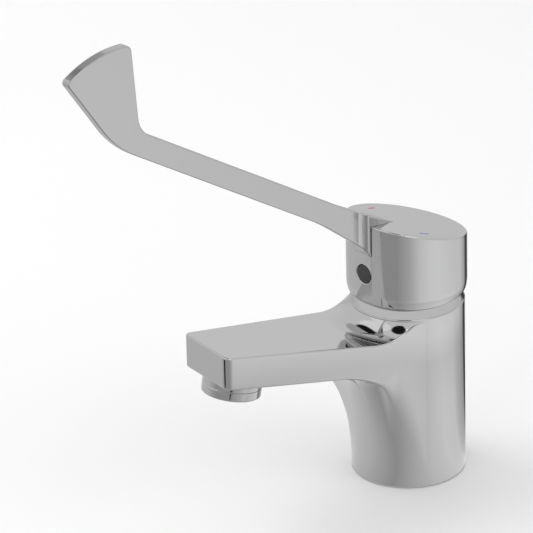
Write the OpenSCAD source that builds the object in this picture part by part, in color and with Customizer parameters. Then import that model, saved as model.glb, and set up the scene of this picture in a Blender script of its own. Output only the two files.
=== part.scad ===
// Elbow lever tap: a single-hole basin mixer worked with the elbow.
// Millimetres. The origin is the centre of the foot on the deck, Z is up and the spout points along -Y.
// In the head's own frame the lever points along -Y too, and rest_turn turns that frame to where it rests.

/* [Body] */
// Outer diameter of the upright
body_d = 50; // [49:0.5:54]
// Height of the upright's rim above the deck
rim_h = 81; // [78:1:95]
// Rounding of the rim's outer edge
rim_round = 0.5; // [0.3:0.1:0.8]
// Wall of the hollow foot
foot_wall = 4; // [3.5:0.5:5]
// Height of the hollow in the foot
foot_hollow_h = 30; // [24:1:32]

/* [Spout] */
// Reach from the upright's axis to the spout's tip
spout_reach = 105.8; // [95:1:130]
// Width of the spout at its tip
spout_tip_w = 32; // [28.5:0.5:34]
// Height of the spout's tip edge above the rim
spout_tip_up = 7.2; // [4:0.2:12]
// Thickness of the spout at its tip
spout_tip_h = 15.1; // [14.5:0.1:19]
// Angle by which each side widens towards the upright
spout_side_angle = 4; // [3.5:0.1:5.5]
// Climb of the spout's top towards the tip
spout_top_angle = 10.6; // [8:0.2:12]
// Climb of the spout's underside towards the tip
spout_under_angle = 10.4; // [8:0.2:11]
// Radius of the tip's two upright corners
spout_corner_r = 3.5; // [2:0.5:6]
// Rounding of the spout's long edges
spout_edge_r = 0.8; // [0.6:0.1:2]
// Radius of the hollow curve from the spout's top up to the rim
top_blend_r = 12.7; // [10:0.5:16]
// Radius of the hollow curve from the spout's sides into the upright
side_blend_r = 60; // [40:5:80]
// How far the curve under the spout runs out from the upright
under_blend_reach = 30; // [26:1:48]
// Height at which that curve dies into the upright
under_blend_foot = 4; // [2:0.5:10]

/* [Outlet] */
// Thread diameter of the outlet ring
outlet_thread_d = 24; // [22:1:24]
// Outer diameter of the outlet ring
outlet_ring_d = 25.6; // [25:0.2:27]
// How far the outlet ring stands out below the spout
outlet_drop = 7.8; // [5:0.1:9]
// Distance from the spout's tip to the outlet's centre
outlet_setback = 14.2; // [13:0.1:18]
// Depth of the outlet's threaded socket
outlet_socket = 7.6; // [7:0.1:8]
// Diameter of the waterway in the spout
waterway_d = 7; // [5:0.5:8]

/* [Cartridge] */
// Diameter of the ceramic cartridge
cartridge_d = 35; // [35:0.5:36]
// Depth of the cartridge's seat below the rim
seat_depth = 31; // [31:0.5:33]
// Thread diameter of the nut that clamps the cartridge
nut_thread_d = 40; // [40:0.5:41]
// Diameter of the water ports in the cartridge
port_d = 6; // [5:0.2:6.2]
// Side of the square stem
stem_w = 8; // [7:0.5:8.5]
// Height of the tilting pin above the cartridge's seat
pin_up = 20; // [19.6:0.1:20.4]
// Lift of the lever from shut to full flow, in degrees
lift_range = 25; // [15:1:25]

/* [Trim ring] */
// How far the ring is set in from the upright's side
ring_step = 0.2; // [0.2:0.1:0.6]
// Wall of the ring and its dome
ring_wall = 1.1; // [1:0.1:1.3]

/* [Head] */
// Outer diameter of the head
head_d = 52.2; // [51.8:0.2:56]
// Gap from the rim up to the head's lower edge
head_gap = 4.7; // [4.4:0.1:5.5]
// Height of the head on its axis
head_h = 30.7; // [29:0.5:36]
// Slope of the head's flat top, high above the lever
head_slope = 15.4; // [12:0.2:18]
// Height over which the head draws in at its lower edge
head_tuck_h = 5.5; // [4:0.5:9]
// How far the head draws in at its lower edge
head_tuck = 1.2; // [0.8:0.1:2]
// Wall of the head
head_wall = 2.5; // [2:0.1:3]
// Turn of the head at rest, towards the cold side
rest_turn = 8; // [-20:1:20]

/* [Lever] */
// Thickness of the lever's plate
plate_t = 4.4; // [3.5:0.1:5]
// Depth of the arm, square to its length
arm_depth = 10; // [8:0.2:12]
// Climb of the arm
arm_angle = 32.1; // [28:0.5:36]
// Climb of the root's top edge, from the head's top to the arm
root_angle = 29.25; // [27:0.2:32]
// Distance from the head's axis to the point of the root
root_point = 8.3; // [7:0.1:10]
// Distance from the head's axis to the arm's start
arm_start = 40.3; // [38:0.5:45]
// Distance from the head's axis to the bend up into the paddle
arm_end = 151.3; // [130:1:170]
// Width of the root where it passes through the head's side
root_w = 9.4; // [8.6:0.2:10]
// Distance from the root's lower end down from the head's top on the axis
root_drop = 7.2; // [7:0.2:9]
// Climb of the root's lower edge
root_under_angle = 38.4; // [37:0.2:41]
// Climb of the root's heel, between its lower end and that edge
root_heel_angle = 56; // [52:1:62]
// Height of the root's heel
root_heel_h = 4.8; // [4:0.2:5.4]
// Climb of the paddle's inner edge
paddle_inner_angle = 85.3; // [80:1:90]
// Climb of the paddle's outer edge
paddle_outer_angle = 55.3; // [52:1:60]
// Radius of the paddle's curved end
paddle_arc_r = 51.3; // [46:1:56]
// Distance of that curve's centre beyond the bend
paddle_arc_out = 10.7; // [8:0.5:14]
// Distance of that curve's centre below the bend
paddle_arc_down = 12.4; // [9:0.5:15]

/* [Small parts] */
// Diameter of the plug in the head's front
plug_d = 8.4; // [8:0.1:10]
// Height of the plug above the head's lower edge
plug_up = 14.0; // [13.8:0.1:14.6]
// Diameter of the grub screw
grub_d = 5; // [4:0.5:5]
// Diameter of the lever's screw
lever_screw_d = 4; // [3:0.5:4]
// Length of each colour mark
mark_len = 4.2; // [3:0.2:6]
// Width of each colour mark
mark_w = 1.1; // [0.8:0.1:1.5]
// Distance of the colour marks in from the head's side
mark_in = 7; // [6:0.1:9]
// Angle of the cold mark from the lever
cold_mark_angle = 69; // [60:1:80]
// Angle of the hot mark from the lever
hot_mark_angle = 83; // [60:1:88]

/* [Supply] */
// Distance of each supply tail from the upright's centre line
tail_x = 7.5; // [7.2:0.1:8]
// Distance of the supply tails in front of the upright's axis
tail_front = 4; // [3:0.5:5]
// Thread diameter of the supply tails
tail_thread_d = 10; // [10:1:10]
// Thread diameter of the fixing stud
stud_thread_d = 8; // [6:1:8]
// Distance of the fixing stud behind the upright's axis
stud_back = 12; // [11:0.5:14]

/* [Hidden] */
$fn = 96;

// Clearances: between still pieces, for a running fit, between pieces that move apart, and a cut's overrun
fit = 0.05;
run_fit = 0.05;
free_gap = 0.3;
over = 1;

body_r = body_d / 2;
foot_r = body_r - foot_wall;
seat_z = rim_h - seat_depth;
pivot_z = seat_z + pin_up;
pivot_drop = rim_h - pivot_z;

// The spout's plan: x is to the side, y forwards along the spout
tip_x = spout_tip_w / 2;
tip_top_z = rim_h + spout_tip_up;
tip_under_z = tip_top_z - spout_tip_h;
top_climb = tan(spout_top_angle);
under_climb = tan(spout_under_angle);
side_normal = [cos(spout_side_angle), sin(spout_side_angle)];
side_along = [-side_normal[1], side_normal[0]];
side_dist = side_normal * [tip_x, spout_reach];
corner_centre = [
    (side_dist - spout_corner_r - side_normal[1] * (spout_reach - spout_corner_r)) / side_normal[0],
    spout_reach - spout_corner_r,
];
// The side's curve ends a little inside the upright, so that the skins cross at a clear angle
side_end_r = body_r - 0.1;
blend_dist = side_dist + side_blend_r;
blend_centre = side_normal * blend_dist
    + side_along * sqrt(pow(side_end_r + side_blend_r, 2) - pow(blend_dist, 2));
// Rows of the spout's skin start inside the upright's wall
skin_in_r = body_r - 1.2;
skin_core_r = body_r - 3;
skin_top_z = rim_h - 0.4;
under_end_r = body_r - 0.3;

// Stacking heights in the cartridge
base_t = 4;
port_seal_t = 1.5;
disc_seal_t = 1.2;
fixed_disc_t = 4;
moving_disc_t = 2.95;
carrier_t = 5;
fixed_disc_z = seat_z + base_t;
moving_disc_z = fixed_disc_z + fixed_disc_t + run_fit;
carrier_z = moving_disc_z + moving_disc_t;
carrier_top_z = carrier_z + carrier_t;
cartridge_r = cartridge_d / 2;
housing_wall = 2.2;
housing_in_r = cartridge_r - housing_wall;
housing_top_z = rim_h - 2.2;
housing_lid_t = 2.6;
housing_hole_r = 12;
stem_carrier_z = carrier_top_z + 0.4;
stem_carrier_top = housing_top_z - housing_lid_t - free_gap;
neck_top_z = rim_h - 1;
pin_r = 2;
hub_r = 3.6;
ball_r = 2.8;
ball_drop = 5.8;
shank_r = 1.9;
moving_disc_r = 11.2;
inlet_y = -tail_front;
outlet_y = 7;
outlet_port_d = port_d + 2.4;
seal_w = 1.7;

// The nut and the hidden dome
nut_r = nut_thread_d / 2;
nut_skirt_h = 7;
nut_hole_r = 14;
collar_r = nut_r + 1.4;
collar_gap = 0.2;
collar_h = 3.1;
hex_r = nut_r - 1.5;
hex_h = 2.5;
nut_skirt_z = rim_h - nut_skirt_h;
collar_z = rim_h + collar_gap;
collar_top_z = collar_z + collar_h;
nut_top_z = collar_top_z + hex_h;
ring_r = body_r - ring_step;
dome_r = norm([ring_r, pivot_drop]);
dome_in_r = dome_r - ring_wall;
ring_seal_r = 1;
ring_seal_z = collar_z + collar_h / 2;
seal_mid_r = sqrt(pow(dome_in_r - ring_seal_r, 2) - pow(ring_seal_z - pivot_z, 2));
ring_in_r = seal_mid_r + ring_seal_r;
dome_hole_r = 19;

// The head swings about the pin, so its lower edge stays outside a ball round the pin
head_r = head_d / 2;
head_low_z = rim_h + head_gap;
head_top_z = head_low_z + head_h;
head_low_in_r = sqrt(pow(dome_r + free_gap + 0.05, 2) - pow(pivot_drop + head_gap, 2));
head_low_r = head_r - head_tuck;
slope = tan(head_slope);
roof_t = 2.6;
boss_r = 7;
boss_z = head_low_z + 9.3;
socket_top_z = head_top_z - 7;
facet_out = head_r - 0.4;
plug_z = head_low_z + plug_up;
plug_t = 2.2;
grub_len = 5;
grub_boss_r = grub_d / 2 + 2.1;
grub_boss_out = stem_w / 2 + grub_len - 0.4;

// The lever's side view: distance out from the head's axis, and height
root_low_z = head_top_z - root_drop;
root_point_z = head_top_z + root_point * slope;
arm_start_z = root_point_z + (arm_start - root_point) * tan(root_angle);
arm_end_z = arm_start_z + (arm_end - arm_start) * tan(arm_angle);
arm_dir = [cos(arm_angle), sin(arm_angle)];
under_start = [arm_start, arm_start_z] + arm_depth * [arm_dir[1], -arm_dir[0]];
arc_centre = [arm_end + paddle_arc_out, arm_end_z - paddle_arc_down];
bend = [arm_end, arm_end_z];
inner_dir = [cos(paddle_inner_angle), sin(paddle_inner_angle)];
outer_dir = [cos(paddle_outer_angle), sin(paddle_outer_angle)];
under_dir = [cos(root_under_angle), sin(root_under_angle)];
paddle_foot_out = 13.1;
// Roundings of that outline, from the arm's start round the paddle and back under the arm
arm_start_r = 60;
bend_r = 11.5;
paddle_inner_r = 3.2;
paddle_outer_r = 2;
paddle_heel_r = 55;
arm_under_r = 150;
root_heel_r = 4;
// The ends of the paddle's curve, as the way out from its centre
arc_inner_way = [-0.09, 1];
arc_outer_way = [0.5, 1];
// Hollow curve where the root widens from the plate
lever_flare_r = 4;
root_side_out = head_r + 1;
ledge_t = 2.5;
ledge_in = head_r - 12.6;
screw_out = head_r - 7.1;
screw_head_d = 6.6;
screw_head_h = 2.4;
screw_len = 9;
mark_t = 0.6;
mark_r = head_r - mark_in;

// Supply sockets in the foot
tap_drill_tail = tail_thread_d - 1;
tap_drill_stud = stud_thread_d - 1.2;
tail_socket = 12;
stud_socket = 12;
cross_z = seat_z - 4.5;
riser_y = -(cartridge_r + 5.5);

function unit(v) = v / norm(v);
function turned(v) = [-v[1], v[0]];
function cross2(a, b) = a[0] * b[1] - a[1] * b[0];

// Where the line through p along u meets the line through q along v
function meet(p, u, q, v) = p + u * cross2(q - p, v) / cross2(u, v);

// The arc that rounds corner b between a and c, as points
function corner_arc(a, b, c, r) =
    let (
        to_a = unit(a - b),
        to_c = unit(c - b),
        half = acos(to_a * to_c) / 2,
        centre = b + unit(to_a + to_c) * r / sin(half),
        start = b + to_a * r / tan(half) - centre,
        from = atan2(start[1], start[0]),
        side = cross2(to_a, to_c) > 0 ? -1 : 1,
        sweep = side * (180 - 2 * half),
        steps = max(3, ceil(abs(sweep) / 6))
    )
    [for (i = [0:steps]) centre + r * [cos(from + sweep * i / steps), sin(from + sweep * i / steps)]];

// An outline of [x, y, corner radius] with its corners rounded
function rounded(p) = [
    for (i = [0:len(p) - 1])
        let (
            last = p[(i + len(p) - 1) % len(p)],
            this = p[i],
            next = p[(i + 1) % len(p)]
        )
        each this[2] > 0
            ? corner_arc([last[0], last[1]], [this[0], this[1]], [next[0], next[1]], this[2])
            : [[this[0], this[1]]]
];

// One half of the spout's plan, from the middle of the tip to the upright: [point, outward normal]
tip_steps = 2;
corner_steps = 4;
side_steps = 15;
blend_steps = 4;
side_from = corner_centre + spout_corner_r * side_normal;
side_to = blend_centre - side_blend_r * side_normal;
blend_end_turn = atan2(blend_centre[1], blend_centre[0]);
plan_half = concat(
    [for (i = [0:tip_steps - 1]) [[corner_centre[0] * i / tip_steps, spout_reach], [0, 1]]],
    [
        for (i = [0:corner_steps])
            let (a = 90 + (spout_side_angle - 90) * i / corner_steps)
            [corner_centre + spout_corner_r * [cos(a), sin(a)], [cos(a), sin(a)]]
    ],
    [
        for (i = [1:side_steps])
            let (t = 1 - pow(1 - i / side_steps, 1.3))
            [side_from + (side_to - side_from) * t, side_normal]
    ],
    [
        for (i = [1:blend_steps])
            let (a = spout_side_angle + (blend_end_turn - spout_side_angle) * i / blend_steps)
            [blend_centre - side_blend_r * [cos(a), sin(a)], [cos(a), sin(a)]]
    ]
);
plan_count = len(plan_half);
plan = concat(
    [for (i = [plan_count - 1:-1:1]) [for (v = plan_half[i]) [-v[0], v[1]]]],
    plan_half
);

// Height of the spout's top at a plan point: a climbing flat with a hollow curve up to the rim
function top_z(p) =
    let (
        r = norm(p),
        climb = top_climb * p[1] / r,
        start = tip_top_z - top_climb * spout_reach,
        lean = sqrt(1 + climb * climb),
        edge_r = body_r - 0.3,
        k = start + climb * edge_r + top_blend_r * lean - skin_top_z,
        spread = sqrt(pow(k * climb, 2) - lean * lean * (k * k - top_blend_r * top_blend_r)),
        centre_r = edge_r + (spread - k * climb) / (lean * lean),
        centre_z = start + climb * centre_r + top_blend_r * lean,
        touch_r = centre_r + top_blend_r * climb / lean
    )
    r >= touch_r
        ? start + climb * r
        : r <= edge_r
            ? skin_top_z
            : centre_z - sqrt(pow(top_blend_r, 2) - pow(r - centre_r, 2));

// Reach of the curve under the spout for a skin that ends at radius r
function under_reach(r) =
    let (
        open = max(r - body_r, 0) + 8,
        full = under_blend_reach
    )
    open * full / pow(pow(open, 4) + pow(full, 4), 0.25);

// Flat of the spout's underside at a plan point
function under_flat(p) = tip_under_z - under_climb * (spout_reach - p[1]);

// A skin row under the spout: the flat, then a quarter ellipse down into the upright
under_rows = 12;
function under_point(q, reach, i) =
    let (
        r_q = norm(q),
        dir = q / r_q,
        beyond = r_q > under_end_r + reach + 1,
        start = asin(max(0, (under_end_r + reach - r_q) / reach)),
        a = beyond
            ? 90 * max(i - 1, 0) / (under_rows - 1)
            : start + (90 - start) * i / under_rows,
        r = i == 0 ? r_q : under_end_r + reach * (1 - sin(a)),
        p = dir * r,
        drop = under_flat(dir * under_end_r) - under_blend_foot
    )
    [p[0], p[1], under_flat(p) - drop * (1 - cos(a))];

// One column of the spout's skin, from the upright over the top, round the edge and back below
top_rows = 8;
edge_rows = 3;
function skin_column(c) =
    let (
        p = c[0],
        n = c[1],
        edge = min(spout_edge_r, (norm(p) - under_end_r) * 0.5),
        q = p - edge * n,
        r_q = norm(q),
        dir = q / r_q,
        span = min(top_blend_r + 1.5, (r_q - skin_in_r) * 0.8),
        reach = under_reach(norm(p)),
        z_top = top_z(q),
        first_under = under_point(q, reach, 0),
        z_under = first_under[2],
        core = dir * skin_core_r
    )
    concat(
        [[core[0], core[1], skin_top_z - 2]],
        [
            for (i = [0:top_rows])
                let (s = dir * (skin_in_r + span * i / top_rows))
                [s[0], s[1], top_z(s)]
        ],
        [
            for (i = [0:edge_rows])
                let (a = 90 * i / edge_rows, s = q + edge * sin(a) * n)
                [s[0], s[1], z_top - edge * (1 - cos(a))]
        ],
        [
            for (i = [edge_rows:-1:0])
                let (a = 90 * i / edge_rows, s = q + edge * sin(a) * n)
                [s[0], s[1], z_under + edge * (1 - cos(a))]
        ],
        [for (i = [1:under_rows]) under_point(q, reach, i)],
        [[core[0], core[1], under_blend_foot]]
    );

// Turns the spout's plan frame into the tap's frame
function to_tap(p) = [p[0], -p[1], p[2]];

// The spout as one skin of columns, closed inside the upright
module spout_skin() {
    columns = [for (c = plan) skin_column(c)];
    rows = len(columns[0]);
    count = len(columns);
    points = concat(
        [for (col = columns) for (p = col) to_tap(p)],
        [for (i = [0, count - 1]) to_tap((columns[i][1] + columns[i][rows - 2]) / 2)]
    );
    wall = [
        for (i = [0:count - 2])
            for (j = [0:rows - 1])
                let (
                    a = i * rows + j,
                    b = i * rows + (j + 1) % rows,
                    c = (i + 1) * rows + (j + 1) % rows,
                    d = (i + 1) * rows + j
                )
                each [[a, c, b], [a, d, c]]
    ];
    last = (count - 1) * rows;
    first_cap = [for (j = [0:rows - 1]) [count * rows, j, (j + 1) % rows]];
    last_cap = [for (j = [0:rows - 1]) [count * rows + 1, last + (j + 1) % rows, last + j]];
    polyhedron(points = points, faces = concat(wall, first_cap, last_cap), convexity = 8);
}

// Puts a piece at the outlet: +Z runs up into the spout, square to its underside
module at_outlet() {
    y = spout_reach - outlet_setback;
    translate([0, -y, under_flat([0, y])]) rotate([-spout_under_angle, 0, 0]) children();
}

// Turns the head's frame to where it rests
module at_head() {
    rotate([0, 0, rest_turn]) children();
}

// Lays a piece along the lever: its Z runs out from the head's axis
module outwards(z) {
    translate([0, 0, z]) rotate([90, 0, 0]) children();
}

// Lays a piece along the tilting pin's direction
module sideways(z) {
    translate([0, 0, z]) rotate([0, 90, 0]) children();
}

module tube(r, hole_r, h) {
    difference() {
        cylinder(r = r, h = h);
        translate([0, 0, -over]) cylinder(r = hole_r, h = h + 2 * over);
    }
}

// The three water ports, as whatever the caller makes at each: two inlets in front, one outlet behind
module at_ports() {
    for (side = [-1, 1]) translate([side * tail_x, inlet_y, 0]) {
        $port_r = port_d / 2;
        children();
    }
    translate([0, outlet_y, 0]) {
        $port_r = outlet_port_d / 2;
        children();
    }
}

module upright() {
    foot_edge = 0.4;
    rotate_extrude() polygon([
        [0, 0],
        [body_r - foot_edge, 0],
        [body_r, foot_edge],
        [body_r, rim_h - rim_round],
        [body_r - rim_round * 0.3, rim_h - rim_round * 0.3],
        [body_r - rim_round, rim_h],
        [0, rim_h],
    ]);
}

// The drilled waterway: back outlet port, cross channel, riser and the run along the spout
module waterway() {
    way_r = waterway_d / 2;
    run_y = spout_reach - outlet_setback;
    mid_tip_z = tip_top_z - spout_tip_h / 2;
    mid_climb = (top_climb + under_climb) / 2;
    riser_top = mid_tip_z - mid_climb * (spout_reach + riser_y);
    run = [0, run_y + riser_y, mid_climb * (run_y + riser_y)];
    translate([0, outlet_y, cross_z]) cylinder(r = 3, h = seat_z - cross_z + over);
    translate([0, outlet_y + 3, cross_z]) rotate([90, 0, 0]) cylinder(r = 3, h = outlet_y + 3 - riser_y);
    translate([0, riser_y, cross_z]) cylinder(r = 3, h = riser_top - cross_z);
    translate([0, riser_y, riser_top]) rotate([90 - atan(mid_climb), 0, 0])
        cylinder(r = way_r, h = norm(run));
}

module body() {
    color("silver") difference() {
        union() {
            upright();
            spout_skin();
        }
        translate([0, 0, -over]) cylinder(r = foot_r, h = foot_hollow_h + over);
        base_seal_ring(fit, over);
        translate([0, 0, seat_z]) cylinder(r = cartridge_r + 2 * fit, h = seat_depth + over);
        translate([0, 0, nut_skirt_z - 0.2]) cylinder(r = nut_r + fit, h = rim_h - nut_skirt_z + over);
        for (side = [-1, 1]) translate([side * tail_x, inlet_y, foot_hollow_h - over]) {
            cylinder(d = tap_drill_tail, h = tail_socket + over);
            cylinder(d = port_d, h = seat_z - foot_hollow_h + 2 * over);
        }
        translate([0, stud_back, foot_hollow_h - over]) cylinder(d = tap_drill_stud, h = stud_socket + over);
        waterway();
        at_outlet() translate([0, 0, -over])
            cylinder(d = outlet_thread_d + 2 * fit, h = outlet_socket + over);
    }
}

module base_seal_ring(extra, below) {
    translate([0, 0, -below])
        tube(body_r - 1 + extra, foot_r + 1 - extra, 1.5 + below);
}

module base_seal() {
    color("dimgray") base_seal_ring(0, 0);
}

outlet_lip = 1;
outlet_in_r = outlet_thread_d / 2 - 1.5;
washer_t = 1.6;
module aerator_housing() {
    groove = 0.25;
    groove_z = -outlet_drop * 0.48;
    color("silver") at_outlet() difference() {
        union() {
            cylinder(d = outlet_thread_d, h = outlet_socket - washer_t);
            rotate_extrude() polygon([
                [0, 0],
                [outlet_ring_d / 2, 0],
                [outlet_ring_d / 2, groove_z + groove],
                [outlet_ring_d / 2 - groove, groove_z],
                [outlet_ring_d / 2, groove_z - groove],
                [outlet_ring_d / 2, -outlet_drop + 0.6],
                [outlet_ring_d / 2 - 0.6, -outlet_drop],
                [0, -outlet_drop],
            ]);
        }
        translate([0, 0, -outlet_drop + outlet_lip])
            cylinder(r = outlet_in_r, h = outlet_drop + outlet_socket);
        translate([0, 0, -outlet_drop - over]) cylinder(r = outlet_in_r - 1.2, h = outlet_lip + 2 * over);
    }
}

// The flow straightener: rings of small holes round one in the middle
module aerator_insert() {
    insert_h = outlet_drop - outlet_lip + 2;
    hole_r = 0.75;
    pitch = 2.6;
    color("whitesmoke") at_outlet() translate([0, 0, -outlet_drop + outlet_lip]) difference() {
        cylinder(r = outlet_in_r - fit, h = insert_h);
        for (ring = [1:3])
            for (i = [0:6 * ring - 1])
                rotate([0, 0, 60 * i / ring]) translate([pitch * ring, 0, -over])
                    cylinder(r = hole_r, h = insert_h + 2 * over, $fn = 24);
        translate([0, 0, -over]) cylinder(r = hole_r, h = insert_h + 2 * over, $fn = 24);
    }
}

module aerator_washer() {
    color("dimgray") at_outlet() translate([0, 0, outlet_socket - washer_t])
        tube(outlet_thread_d / 2, outlet_in_r - 1.5, washer_t);
}

module cartridge_base() {
    color("gainsboro") translate([0, 0, seat_z]) difference() {
        cylinder(r = cartridge_r - 0.2, h = base_t);
        at_ports() {
            translate([0, 0, -over]) cylinder(r = $port_r, h = base_t + 2 * over);
            translate([0, 0, -over]) cylinder(r = $port_r + seal_w, h = port_seal_t + over);
            translate([0, 0, base_t - disc_seal_t]) cylinder(r = $port_r + seal_w, h = disc_seal_t + over);
        }
    }
}

module port_seals() {
    color("dimgray") translate([0, 0, seat_z]) at_ports() tube($port_r + seal_w - fit, $port_r, port_seal_t);
}

module disc_seals() {
    color("dimgray") translate([0, 0, fixed_disc_z - disc_seal_t]) at_ports()
        tube($port_r + seal_w - fit, $port_r, disc_seal_t);
}

module fixed_disc() {
    color("white") translate([0, 0, fixed_disc_z]) difference() {
        cylinder(r = housing_in_r - 0.8, h = fixed_disc_t);
        at_ports() translate([0, 0, -over]) cylinder(r = $port_r, h = fixed_disc_t + 2 * over);
    }
}

// The moving disc has a blind chamber below that joins the ports when it slides forwards
module moving_disc() {
    chamber_r = 6;
    color("white") at_head() translate([0, 0, moving_disc_z]) difference() {
        cylinder(r = moving_disc_r, h = moving_disc_t);
        translate([0, 1, -over]) cylinder(r = chamber_r, h = 1.8 + over);
    }
}

module disc_carrier() {
    color("gainsboro") at_head() translate([0, 0, carrier_z]) difference() {
        cylinder(r = moving_disc_r, h = carrier_t);
        translate([0, 0, 0.25]) cylinder(r = ball_r + free_gap, h = carrier_t);
    }
}

module cartridge_housing() {
    h = housing_top_z - fixed_disc_z;
    color("gainsboro") translate([0, 0, fixed_disc_z]) difference() {
        cylinder(r = cartridge_r, h = h);
        translate([0, 0, -over]) cylinder(r = housing_in_r, h = h - housing_lid_t + over);
        cylinder(r = housing_hole_r, h = h + over);
    }
}

module stem_carrier() {
    h = neck_top_z - stem_carrier_z;
    slot_w = stem_w + 2 * free_gap;
    slot_len = 2 * ((neck_top_z - pivot_z) * tan(lift_range) + stem_w / 2 / cos(lift_range) + free_gap + 0.2);
    color("white") at_head() difference() {
        translate([0, 0, stem_carrier_z]) {
            cylinder(r = housing_in_r - run_fit, h = stem_carrier_top - stem_carrier_z);
            cylinder(r = housing_hole_r - run_fit, h = h);
        }
        translate([-slot_w / 2, -slot_len / 2, stem_carrier_z - over]) cube([slot_w, slot_len, h + 2 * over]);
        sideways(pivot_z) cylinder(r = pin_r + 0.02, h = 2 * housing_in_r + 2 * over, center = true);
    }
}

module stem_pin() {
    color("silver") at_head() sideways(pivot_z) cylinder(r = pin_r, h = 2 * housing_in_r - 3, center = true);
}

module cartridge_nut() {
    color("goldenrod") difference() {
        union() {
            translate([0, 0, nut_skirt_z]) cylinder(r = nut_r, h = collar_top_z - nut_skirt_z);
            translate([0, 0, collar_z]) cylinder(r = collar_r, h = collar_top_z - collar_z);
            translate([0, 0, collar_top_z]) cylinder(r = hex_r, h = nut_top_z - collar_top_z, $fn = 6);
        }
        translate([0, 0, nut_skirt_z - over])
            cylinder(r = cartridge_r + 2 * fit, h = housing_top_z - nut_skirt_z + over);
        translate([0, 0, housing_top_z - over])
            cylinder(r = nut_hole_r, h = nut_top_z - housing_top_z + 2 * over);
        translate([0, 0, ring_seal_z - ring_seal_r])
            tube(collar_r + over, seal_mid_r - ring_seal_r - fit, 2 * ring_seal_r);
    }
}

module ring_seal() {
    color("dimgray") translate([0, 0, ring_seal_z]) rotate_extrude()
        translate([seal_mid_r, 0]) circle(r = ring_seal_r - fit, $fn = 32);
}

// The ring that shows and the dome that it carries up inside the head, round as a ball about the pin
module trim_ring() {
    steps = 6;
    out_from = asin(pivot_drop / dome_r);
    out_to = acos(dome_hole_r / dome_r);
    in_from = acos(dome_hole_r / dome_in_r);
    in_to = acos(ring_in_r / dome_in_r);
    color("silver") rotate_extrude() polygon(concat(
        [[ring_in_r, rim_h]],
        [for (i = [0:steps]) let (a = out_from + (out_to - out_from) * i / steps)
            [dome_r * cos(a), pivot_z + dome_r * sin(a)]],
        [for (i = [0:steps]) let (a = in_from + (in_to - in_from) * i / steps)
            [dome_in_r * cos(a), pivot_z + dome_in_r * sin(a)]]
    ));
}

module stem() {
    color("silver") at_head() difference() {
        union() {
            translate([-stem_w / 2, -stem_w / 2, pivot_z])
                cube([stem_w, stem_w, socket_top_z - fit - pivot_z]);
            sideways(pivot_z) cylinder(r = hub_r, h = stem_w, center = true);
            translate([0, 0, pivot_z - ball_drop]) cylinder(r = shank_r, h = ball_drop);
            translate([0, 0, pivot_z - ball_drop]) sphere(r = ball_r);
        }
        sideways(pivot_z) cylinder(r = pin_r + run_fit, h = stem_w + 2 * over, center = true);
    }
}

// Everything above a plane that slopes like the head's top, drop below it on the axis
module above_slope(drop) {
    size = 4 * head_r;
    translate([0, 0, head_top_z - drop]) rotate([-head_slope, 0, 0]) translate([-size / 2, -size / 2, 0])
        cube([size, size, size]);
}

// The head's outer form before its top is cut: a drum that draws in at its lower edge
module head_drum() {
    steps = 8;
    rotate_extrude() polygon(concat(
        [[0, head_low_z]],
        [for (i = [0:steps]) let (a = 90 * i / steps)
            [head_low_r + (head_r - head_low_r) * sin(a), head_low_z + head_tuck_h * (1 - cos(a))]],
        [[head_r, head_top_z + head_r], [0, head_top_z + head_r]]
    ));
}

module head_hollow() {
    in_r = head_r - head_wall;
    rotate_extrude() polygon([
        [0, head_low_z - over],
        [head_low_in_r, head_low_z - over],
        [head_low_in_r, head_low_z + 0.8],
        [in_r, head_low_z + head_tuck_h - 1],
        [in_r, head_top_z + head_r],
        [0, head_top_z + head_r],
    ]);
}

// The lever's root as seen from above: a wedge with its point towards the axis, flaring out of the arm
module root_plan(extra) {
    half_w = root_w / 2;
    half_t = plate_t / 2 + extra;
    turn = acos(1 - (root_w - plate_t) / 2 / lever_flare_r);
    steps = 6;
    half = concat(
        [[0, root_point - extra * 3], [half_w + extra, head_r - 2]],
        [for (i = [0:steps]) let (a = turn * (1 - i / steps))
            [half_t + lever_flare_r * (1 - cos(a)), root_side_out + lever_flare_r * (sin(turn) - sin(a))]],
        [[half_t, 2 * arm_end]]
    );
    mirror([0, 1, 0]) polygon(concat(half, [for (i = [len(half) - 1:-1:1]) [-half[i][0], half[i][1]]]));
}

// The lever's side view, as distance out and height
function lever_outline() =
    let (
        foot_out = arm_end + paddle_foot_out,
        paddle_foot = [foot_out, under_start[1] + (foot_out - under_start[0]) * tan(arm_angle)],
        inner_top = arc_centre + paddle_arc_r * unit(arc_inner_way),
        outer_top = arc_centre + paddle_arc_r * unit(arc_outer_way),
        arc_in_dir = turned(unit(inner_top - arc_centre)),
        arc_out_dir = turned(unit(outer_top - arc_centre)),
        inner_corner = meet(bend, inner_dir, inner_top, arc_in_dir),
        arc_peak = meet(inner_top, arc_in_dir, outer_top, arc_out_dir),
        outer_corner = meet(paddle_foot, outer_dir, outer_top, arc_out_dir),
        root_low = [facet_out, root_low_z],
        heel = root_low + root_heel_h * [1 / tan(root_heel_angle), 1],
        under_corner = meet(heel, under_dir, under_start, arm_dir)
    )
    rounded([
        [root_point, root_point_z, 0],
        [arm_start, arm_start_z, arm_start_r],
        [bend[0], bend[1], bend_r],
        [inner_corner[0], inner_corner[1], paddle_inner_r],
        [arc_peak[0], arc_peak[1], paddle_arc_r],
        [outer_corner[0], outer_corner[1], paddle_outer_r],
        [paddle_foot[0], paddle_foot[1], paddle_heel_r],
        [under_corner[0], under_corner[1], arm_under_r],
        [heel[0], heel[1], root_heel_r],
        [root_low[0], root_low[1], 0],
        [root_point, root_low_z, 0],
    ]);

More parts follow.
